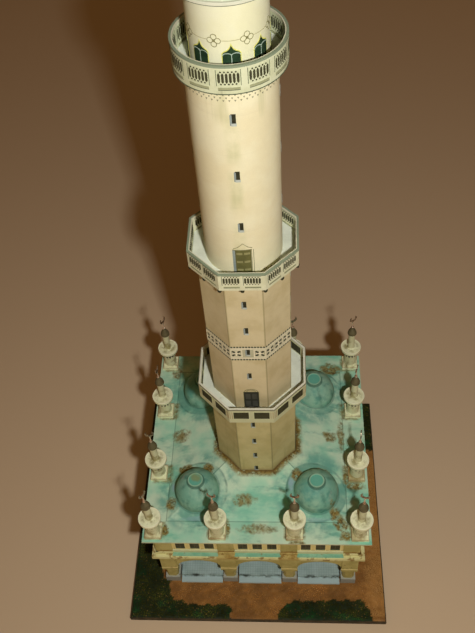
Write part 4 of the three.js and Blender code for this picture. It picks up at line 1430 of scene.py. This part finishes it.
cross = [line([(-ARM, centre), (ARM, centre)], ARM_WIDE, proud=0.07),
         line([(0, centre - ARM), (0, centre + ARM)], ARM_WIDE, proud=0.08),
         frame_lines(-SQUARE, SQUARE, centre - SQUARE, centre + SQUARE, 0.5, proud=0.05)]
leaves = [line([(sx * LEAF_IN, centre + sz * LEAF_IN), (sx * LEAF_OUT[0], centre + sz * LEAF_OUT[1])],
               LEAF_WIDE, proud=0.06) for sx in (-1, 1) for sz in (-1, 1)]
dash_places = [SIDE * ((i + 0.5) / DASHES - 0.5) for i in range(DASHES)]
dashes = [rectangle(x - DASH_HALF, x + DASH_HALF, z, z + STRIPE_TALL, proud=0.06)
          for x in dash_places for z in DASH_ROWS]
pale_lines = [rectangle(-SIDE / 2, SIDE / 2, z, z + STRIPE_TALL, proud=0.05) for z in LINE_ROWS]
ground_band = [rectangle(-SIDE / 2, SIDE / 2, FRIEZE_LOW - 0.3, FRIEZE_HIGH + 0.3, proud=0.03)]
print_all([("frieze_ground", ground_band, frieze_grey), ("frieze_lines", pale_lines, frieze_pale),
           ("frieze_dashes", dashes, frieze_dark)], "tower_low", HIGH_APOTHEM)
for name, ring in (
    ("frieze", {"row": 2, "spacing": 2 * SIDE / 3}),
    ("frieze_middle", {"sides": 4, "first": 45}),
):
    rosette = [(f"{name}_crosses", cross, frieze_pale), (f"{name}_leaves", leaves, frieze_dark)]
    print_all(rosette, "tower_low", HIGH_APOTHEM, **ring)

# %% [markdown]
# The first gallery's parapet has two dark panels on each side with a cream frame. The second and third
# have panels of pointed slots with rows of dots, as if the card were pierced, and a moulded bar below.
# The print shows on both faces of the card, so every pattern is laid once outside and once inside. A
# thin lip of pale card caps each parapet. Its points store whether they lie outside or inside, so that
# its outer part gets a darker grey or olive. It sits a hair above the solid, so that the two faces never
# lie in one plane.

# %% Helpers for the parapets
PARAPET_CARD, RIM_OVER, RIM_LIP, RIM_TALL = 1.0, 0.1, 0.08, 0.6
parapet_card = card("parapet_card", "dee0c0", "cfd1ae", 0.6, 200.0, 0.05, [
    (belt(120, 150, 1.0), "cccfa8"),
    (stained(0.37, 330.0, 0.1, 0.4, 0.5), "b39f68"),
])
rim_grey = card("rim_grey", "dcdcc2", "d0d0b6", 0.7, 260.0, 0.06, [
    (stored("outward", 0.26, 0.34), "87967f")])
rim_olive = card("rim_olive", "e4e6d4", "d6d9c6", 0.7, 260.0, 0.06, [
    (stored("outward", 0.7, 0.78), "8e8c74")])
bar_green = card("bar_green", "a1a582", "949a76", 0.6, 260.0, 0.05)
bar_dark = card("bar_dark", "56624e", "4c5a44", 0.6, 260.0, 0.05)
slot_dark = card("slot_dark", "46472f", "393b2a", 0.8, 400.0, 0.08)


def on_both_faces(name, parts, distance, **ring):
    """Prints each (kind, shapes, material) outside and inside a parapet."""
    for kind, shapes, material in parts:
        print_ring(f"{name}_{kind}_outside", shapes, material, "parapet", distance, **ring)
        inner = [mirrored(shape) for shape in shapes]
        print_ring(f"{name}_{kind}_inside", inner, material, "parapet", distance - PARAPET_CARD, **ring)


def rim(name, distance, top, material, sides):
    """A lip along the top of a parapet, a little wider than its card."""
    to_corner = 1 / math.cos(math.pi / sides) if sides == 8 else 1.0
    out, back = (distance + RIM_LIP) * to_corner, (distance - PARAPET_CARD - RIM_LIP) * to_corner
    low, high = top - RIM_TALL, top + RIM_OVER
    section = [(out, low), (out, high), (back, high), (back, low)]
    points, faces = turned(section, sides, math.pi / sides, loop=True)
    piece = new_piece(name, points, faces)
    smooth(piece)
    middle = (out + back) / 2
    store(piece, "outward", [1.0 if math.hypot(x, y) > middle else 0.0 for x, y, _ in points])
    return dress(piece, material, "parapet")


def slotted_panel(left, right, count, slot_low, slot_high, width, dot_radius, **thickness):
    """Pointed slots side by side, with a dot above and below between each two."""
    pitch = (right - left) / count
    shapes = []
    for i in range(count):
        x = left + i * pitch
        shapes.append(pointed_slot(x + pitch / 2, slot_low, slot_high, width, width * 0.9, **thickness))
        if i:
            shapes += [dot(x, z, dot_radius, 4, **thickness) for z in (slot_low - 0.15, slot_high + 0.15)]
    return shapes


print("parapet card:", PARAPET_CARD, "mm")

# %% [markdown]
# The solids of the two eight-sided parapets stay, because flat card is right as it comes. The first
# gallery has plain panels. The second has slots, a bar below each panel, a thin dark frame and dark
# half-round consoles at its foot.

# %% Parapets of the eight-sided galleries
APOTHEM_1, APOTHEM_2 = 24.6, 21.1
PANEL_HALF_1, PANEL_LOW_1, PANEL_HIGH_1, SPACING_1, POST_1 = 3.45, 130.4, 135.8, 9.3, 9.2
SLOTS_2, BAR_2, FRAME_2, SPACING_2 = (-3.2, 3.2), (-2.9, 3.1), (-3.5, 3.4), 7.95
CONSOLE, CONSOLE_DROP, CONSOLE_DEEP, CONSOLE_PROUD = 0.8, 1.25, 1.4, 0.2
CONSOLE_BULGE, CONSOLE_LEAST = 0.7, 0.08
top_1, top_2 = heights_of("gallery_1_parapet")[1], heights_of("gallery_2_parapet")[1]
foot_2 = heights_of("gallery_2_parapet")[0]
for gallery in ("gallery_1_parapet", "gallery_2_parapet"):
    finish_node(gallery, parapet_card)
panel_olive = card("panel_olive", "3a3a24", "47452c", 0.7, 300.0, 0.08)

panel_1 = (-PANEL_HALF_1, PANEL_HALF_1, PANEL_LOW_1, PANEL_HIGH_1)
on_both_faces("parapet_1", [
    ("panels", [rectangle(*panel_1, proud=0.06)], panel_olive),
    ("frames", [frame_lines(*panel_1, 0.4, proud=0.1)], sill_card),
], APOTHEM_1, row=2, spacing=SPACING_1)
on_both_faces("parapet_1_posts", [
    ("lines", [rectangle(x - 0.12, x + 0.12, PANEL_LOW_1, PANEL_HIGH_1, proud=0.06) for x in (-0.5, 0.5)],
     plinth_line_card),
], APOTHEM_1, row=2, spacing=2 * POST_1)
rim("parapet_1_rim", APOTHEM_1, top_1, rim_olive, 8)

on_both_faces("parapet_2", [
    ("slots", slotted_panel(*SLOTS_2, 6, top_2 - 5.1, top_2 - 1.6, 0.8, 0.26, proud=0.07), slot_dark),
    ("bars", [rectangle(*BAR_2, foot_2 + 1.7, foot_2 + 2.2, proud=0.12)], bar_green),
    ("lines", [rectangle(FRAME_2[0], FRAME_2[0] + 0.2, foot_2 + 2.9, top_2 - 0.8, proud=0.05),
               rectangle(*FRAME_2, top_2 - 0.95, top_2 - 0.8, proud=0.05),
               rectangle(*BAR_2, foot_2 + 1.45, foot_2 + 1.7, proud=0.1)], bar_dark),
], APOTHEM_2, row=2, spacing=SPACING_2)
rim("parapet_2_rim", APOTHEM_2, top_2, rim_grey, 8)

half_round = []
for angle in (math.radians(degrees) for degrees in range(0, 181, 30)):
    x, drop = -CONSOLE * math.cos(angle), CONSOLE_DROP * math.sin(angle) ** CONSOLE_BULGE
    half_round.append(((x, foot_2 - max(drop, CONSOLE_LEAST)), (x, foot_2 + 0.02)))
console = [ribbon(half_round, proud=CONSOLE_PROUD, sunk=CONSOLE_DEEP)]
print_ring("console_middles", console, print_dark, "parapet", APOTHEM_2)
to_corner = APOTHEM_2 / math.cos(HALF_SIDE) - CONSOLE_PROUD
print_ring("console_corners", console, print_dark, "parapet", to_corner, first=22.5)

# %% [markdown]
# The third parapet is rolled, so a smooth ring stands for its solid. Its twelve panels are bent to the
# curve. The print of the real one starts a little to the right of the middle, and so does this one.

# %% Parapet of the round gallery
RADIUS_3, PANELS, PRINT_TURN_3, UNDER_RIM = 18.0, 12, 1.5, 0.1
SLOTS_3, BAR_3, PANEL_ENDS_3, PANEL_OVER, LINE_HALF = (-3.4, 3.4), (-3.2, 3.4), (-3.65, 3.65), 0.8, 0.09
foot_3, top_3 = heights_of("gallery_3_parapet")
parapet_pale = card("parapet_pale", "d6dcbc", "cad0a8", 0.6, 200.0, 0.04, [
    (stained(0.46, 150.0, 0.2, 4.4, 0.6), "b9bb98"),
    (streaked(0.42, 600.0), "a9ab8a"),
])
panel_beige = card("panel_beige", "ced6b4", "c2caa4", 0.6, 260.0, 0.05)
low, high, back = foot_3, top_3 - UNDER_RIM, RADIUS_3 - PARAPET_CARD
ring_3 = [(RADIUS_3, low), (RADIUS_3, high), (back, high), (back, low)]
rolled("rolled_parapet", ring_3, parapet_pale, "parapet", "gallery_3_parapet", loop=True)
slot_low, slot_high = top_3 - 5.9, top_3 - 2.1
panel_3 = (*PANEL_ENDS_3, slot_low - PANEL_OVER, slot_high + PANEL_OVER)
side_lines = [rectangle(x - LINE_HALF, x + LINE_HALF, *panel_3[2:], proud=0.05) for x in PANEL_ENDS_3]
on_both_faces("parapet_3", [
    ("slots", slotted_panel(*SLOTS_3, 6, slot_low, slot_high, 0.78, 0.3, proud=0.07), slot_dark),
    ("panels", [rectangle(*panel_3, 6, proud=0.03)], panel_beige),
    ("lines", side_lines, bar_dark),
    ("bars", [rectangle(*BAR_3, foot_3 + 1.75, foot_3 + 2.5, 6, proud=0.14)], bar_green),
    ("shades", [rectangle(*BAR_3, foot_3 + 1.5, foot_3 + 1.75, 6, proud=0.1)], bar_dark),
], RADIUS_3, sides=PANELS, first=PRINT_TURN_3, is_round=True)
rim("parapet_3_rim", RADIUS_3, high, rim_grey, SMOOTH_SIDES)
# the foot ring is dark grey-green: painted shade where the parapet meets the floor
inside_foot, outside_foot = RADIUS_3 - 0.2, RADIUS_3 + 0.12
rolled("parapet_3_foot", [(inside_foot, low), (outside_foot, low), (outside_foot, low + 0.22),
                          (inside_foot, low + 0.4)], bar_dark, "parapet", loop=True)

# %% [markdown]
# Gallery floors are pale card. Under the round gallery the shaft carries three staggered rows of small
# printed teeth, which stand for corbels.

# %% Gallery floors and corbel teeth
TEETH, TOOTH_TOP, TOOTH_TIP, TOOTH_WIDE = 52, 0.1, -0.55, 0.6
TEETH_ROWS = (("upper", 298.6, 0.0), ("middle", 297.6, 180 / TEETH), ("lower", 296.6, 0.0))
floor_card = card("gallery_floor_card", "e9f1e3", "dce4d4", 0.7, 180.0, 0.06, [
    (stained(0.35, 260.0, 0.1, 2.5, 0.4), "a9a68b")])
for gallery in (1, 2, 3):
    finish_node(f"gallery_{gallery}_floor", floor_card)
tooth_ink = card("tooth_ink", "86866a", "9a9a7e", 0.6, 400.0, 0.05)
tooth = [triangle(0.0, TOOTH_TOP, TOOTH_TIP, TOOTH_WIDE)]
for name, height, first in TEETH_ROWS:
    print_ring(f"{name}_teeth", tooth, tooth_ink, "tower_high", ROUND_RADIUS, height, TEETH, first=first)

# %% [markdown]
# The drum above the last gallery has eight windows with a curved and pointed head, dark green with pale
# glazing bars, and between them quatrefoils joined by a thin line. The head is an ogee: it swings out
# over the sides and then in to the tip. A root of the distance from the side gives the shoulder, and a
# high power of it the tip. The whole print is turned a little on the real drum, and so it is here.

# %% Windows of the drum
OGEE_HALF, OGEE_HAUNCH, OGEE_TIP, PRINT_TURN, BAR_RISE = 2.65, 310.9, 313.7, 6.5, 0.55
QUATREFOIL_Z, LOBE, LOBE_OUT, GARLAND_HALF, GARLAND_SAG = 315.1, 0.88, 1.18, 2.7, 0.12
HALO_WIDE, HALO_OVER, SHOULDER, OGEE_CELLS = 0.28, 0.7, 0.45, 14
ogee_foot = heights_of("gallery_3_floor")[1] + 1.0
pane_green = card("drum_pane", "234028", "1a3120", 0.9, 220.0, 0.1)
glazing_bar = card("glazing_bar", "b3c9bb", "9db3a4", 0.4, 300.0, 0.05)
halo = card("window_halo", "dfe07c", "d2d870", 0.4, 200.0, 0.03)
quatrefoil_line = card("quatrefoil_line", "84835a", "929168", 0.5, 300.0, 0.05)
garland_line = card("garland_line", "b5b28a", "a8a67c", 0.5, 300.0, 0.05)


def ogee(half, foot, haunch, tip, **thickness):
    pairs = []
    for i in range(OGEE_CELLS + 1):
        x = half * (2 * i / OGEE_CELLS - 1)
        share = 1 - abs(x) / half
        head = haunch + (tip - haunch) * (SHOULDER * math.sqrt(share) + (1 - SHOULDER) * share**5)
        pairs.append(((x, foot), (x, head)))
    return ribbon(pairs, **thickness)


glow = [ogee(OGEE_HALF + HALO_WIDE, ogee_foot, OGEE_HAUNCH + 0.1, OGEE_TIP + HALO_OVER, proud=0.05)]
pane = [ogee(OGEE_HALF, ogee_foot, OGEE_HAUNCH, OGEE_TIP, proud=0.09)]
fork = OGEE_HAUNCH - 0.5
heads = [flat_arch(x, fork, OGEE_HALF / 2, BAR_RISE, 10) for x in (-OGEE_HALF / 2, OGEE_HALF / 2)]
glazing = [line(path, 0.22, proud=0.13) for path in [[(0, ogee_foot), (0, fork)]] + heads]
lobes = [line(arc(x * LOBE_OUT, QUATREFOIL_Z + z * LOBE_OUT, LOBE, 0, 330, 11), 0.2, True, proud=0.07)
         for x, z in ((1, 0), (0, 1), (-1, 0), (0, -1))]
lobes.append(dot(0, QUATREFOIL_Z, 0.3, 6, proud=0.08))
shares = [i / 6 - 1 for i in range(13)]
garland = [line([(share * GARLAND_HALF, QUATREFOIL_Z + GARLAND_SAG * share**2) for share in shares], 0.18,
                proud=0.05)]
for name, shapes, material, turn in (
    ("drum_window_glows", glow, halo, 0.0), ("drum_window_panes", pane, pane_green, 0.0),
    ("drum_glazing_bars", glazing, glazing_bar, 0.0),
    ("drum_quatrefoils", lobes, quatrefoil_line, 22.5), ("drum_garlands", garland, garland_line, 0.0),
):
    print_ring(name, shapes, material, "tower_high", DRUM_RADIUS, first=PRINT_TURN + turn, is_round=True)

# %% [markdown]
# The top is outside the photograph and follows what such towers have: a thin eave, a bell-shaped cap
# with raised ribs, and a metal finial with a crescent. The outline of the cap is a smooth curve through
# a few radii. The ribs are one bar that follows it, repeated by the same ring tree as the windows.

# %% Eave and cap
CAP_KNOTS = [(14.9, 0), (13.3, 0.06), (12.3, 0.14), (11.6, 0.26), (10.6, 0.4), (8.6, 0.55), (5.6, 0.7),
             (3.2, 0.83), (2, 1)]
KNOT_STEPS, RIBS, HOOP_KNOT = 5, 16, 4
RIB_OUT, RIB_IN, RIB_HALF, HOOP_IN, HOOP_OUT = 0.22, 0.3, 0.3, 0.4, 0.55
eave_low, eave_high = heights_of("cap_eave")
eave_radius, cap_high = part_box("cap_eave")[1][0] / MM, heights_of("cap_bell")[1]


def curve_through(knots, steps):
    """A smooth line of (radius, height) points through the knots."""
    path = []
    ends = [knots[0]] + knots + [knots[-1]]
    for before, a, b, after in zip(ends, ends[1:], ends[2:], ends[3:]):
        for t in (k / steps for k in range(steps)):
            path.append(tuple(0.5 * (
                2 * a[n] + (b[n] - before[n]) * t + (2 * before[n] - 5 * a[n] + 4 * b[n] - after[n]) * t**2
                + (3 * a[n] - before[n] - 3 * b[n] + after[n]) * t**3) for n in (0, 1)))
    return path + [knots[-1]]


knots = [(radius, eave_high + share * (cap_high - eave_high)) for radius, share in CAP_KNOTS]
outline = curve_through(knots, KNOT_STEPS)
eave_paint = card("eave_card", "d0d4c0", "dcddca", 0.7, 120.0, 0.05, [
    # painted shade: a dark band along the lower edge of the eave
    (belt(eave_low - 0.2, eave_low + 0.35, 0.05, 0, 0.8), "5f6b58")])
rolled("rolled_eave", [
    (0, eave_low), (eave_radius - 0.25, eave_low), (eave_radius, eave_low + 0.25),
    (eave_radius, eave_high - 0.2), (eave_radius - 0.2, eave_high), (0, eave_high),
], eave_paint, "cap", "cap_eave")
cap_paint = card("cap_card", "9fc0a4", "8ab398", 0.9, 110.0, 0.06, [
    (streaked(0.45, 300.0), "74a08c"),
    (stained(0.4, 200.0, 0.12, 2.1, 0.5), "b8c6a8"),
    (stained(0.35, 330.0, 0.08, 9.1, 0.5), "7d7a48"),
    (belt(eave_high - 1, eave_high + 4.5, 3.0, 2.0, 0.85), "cdd3bc"),
])
cap_foot = [(0, eave_high - 0.1), (outline[0][0], eave_high - 0.1)]
rolled("rolled_cap", cap_foot + outline + [(0, cap_high)], cap_paint, "cap", "cap_bell")
across_rib = [((r + RIB_OUT, z), (r - RIB_IN, z)) for r, z in outline]
rib_points, rib_faces = ribbon(across_rib, proud=RIB_HALF, sunk=RIB_HALF)
rib = ([(y, -x, z) for x, y, z in rib_points], [face[::-1] for face in rib_faces])
print_ring("cap_ribs", [rib], eave_paint, "cap", 0, sides=RIBS)
hoop_radius, hoop_z = outline[HOOP_KNOT]
inner, outer = hoop_radius - HOOP_IN, hoop_radius + HOOP_OUT
hoop = [(inner, hoop_z - 0.5), (outer, hoop_z - 0.4), (outer, hoop_z + 0.4), (inner, hoop_z + 0.5)]
rolled("cap_hoop", hoop, eave_paint, "cap", loop=True)

# %% [markdown]
# The finial is a turned spindle with two bulbs, and its crescent repeats the small ones on the turrets.
# Both are joined into one piece, because the real one would be glued to the cap as one.

# %% Finial
FINIAL_MOON, FINIAL_THICK, SPINDLE_END = 4.4, 0.9, 7.0
SPINDLE = [(2.3, -0.2), (2.3, 0.4), (1.3, 1.2), (0.85, 3.0), (0.85, 4.6), (1.5, 5.5), (2.1, 6.6),
           (2.15, 7.3), (1.9, 8.2), (1.2, 9.2), (0.75, 9.8), (0.65, 13.0), (1.1, 13.7), (1.5, 14.5),
           (1.5, 15.1), (1.1, 15.9), (0.6, 16.5)]
tip = heights_of("cap_finial")[1]
spindle = turned([(0, cap_high - 0.2)] + [(radius, cap_high + z) for radius, z in SPINDLE]
                 + [(0.45, tip - SPINDLE_END), (0, tip - SPINDLE_END)], 32)
moon_height = tip - FINIAL_MOON * math.sin(math.radians(HORN_ANGLE))
moon = moved(crescent(FINIAL_MOON, FINIAL_THICK, 28), z=moon_height)
finial = new_piece("metal_finial", *joined([spindle, moon]))
smooth(finial, 45)
dress(finial, metal("finial_metal", "c9a163", "94703c", 0.3), "finial", "cap_finial")

# %% [markdown]
# The stage is a plain pale floor. The photograph was lit by a small flash close to the camera. Its place
# was worked out from the shadows of the turrets on the roof: 5 cm to the right of the lens. So the key
# light stands there and is small enough to give clear shadows. Three broad, weak and warm lights and a
# dim warm world fill in.

# %% Floor and lights
FLOOR_REACH, FLOOR_DROP, FLOOR_ROUGH, WORLD_STRENGTH = 3000, 0.1, 0.9, 0.06
KEY_PLACE = (0.068, -0.253, 0.45)
LAMPS = [("key", KEY_PLACE, 0.12, 0.016, 1.03, "fffaf2"),
         ("left_fill", (-1.1, -0.5, 0.9), 0.15, 0.8, 0.8, "ffc880"),
         ("back_fill", (0.5, 1.2, 0.9), 0.15, 0.8, 0.8, "ffc880"),
         ("front_fill", (0.1, -1.3, 0.25), 0.1, 0.9, 2.0, "ffe2b4")]

signs = ((-1, -1), (1, -1), (1, 1), (-1, 1))
corners = [(x * FLOOR_REACH, y * FLOOR_REACH, -FLOOR_DROP) for x, y in signs]
floor = new_piece("studio_floor", corners, [[0, 1, 2, 3]])
floor_paint, floor_tree = new_material("studio_floor")
set_surface(floor_tree, {"Base Color": colour("dfc8a8"), "Roughness": FLOOR_ROUGH})
floor.data.materials.append(floor_paint)
floor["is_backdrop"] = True

for name, place, target_height, size, power, paint in LAMPS:
    light = bpy.data.lights.new(name, "AREA")
    light.size, light.energy, light.color = size, power, colour(paint)[:3]
    lamp = in_the_scene(name, light)
    lamp.location = place
    lamp.visible_camera = False
    look_along(lamp, Vector((0, 0, target_height)) - Vector(place))
world = bpy.data.worlds.new("studio")
world.use_nodes = True
background = world.node_tree.nodes["Background"].inputs
background["Color"].default_value, background["Strength"].default_value = colour("f0a860"), WORLD_STRENGTH
bpy.context.scene.world = world
print("key light in mm from the lens:", round((Vector(KEY_PLACE) - camera.location).length / MM))

# %% [markdown]
# Last, the box of the finished model is printed.

# %% Size of the finished model
low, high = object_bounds()
print("visual box in mm:", [round((b - a) / MM, 2) for a, b in zip(low, high)])
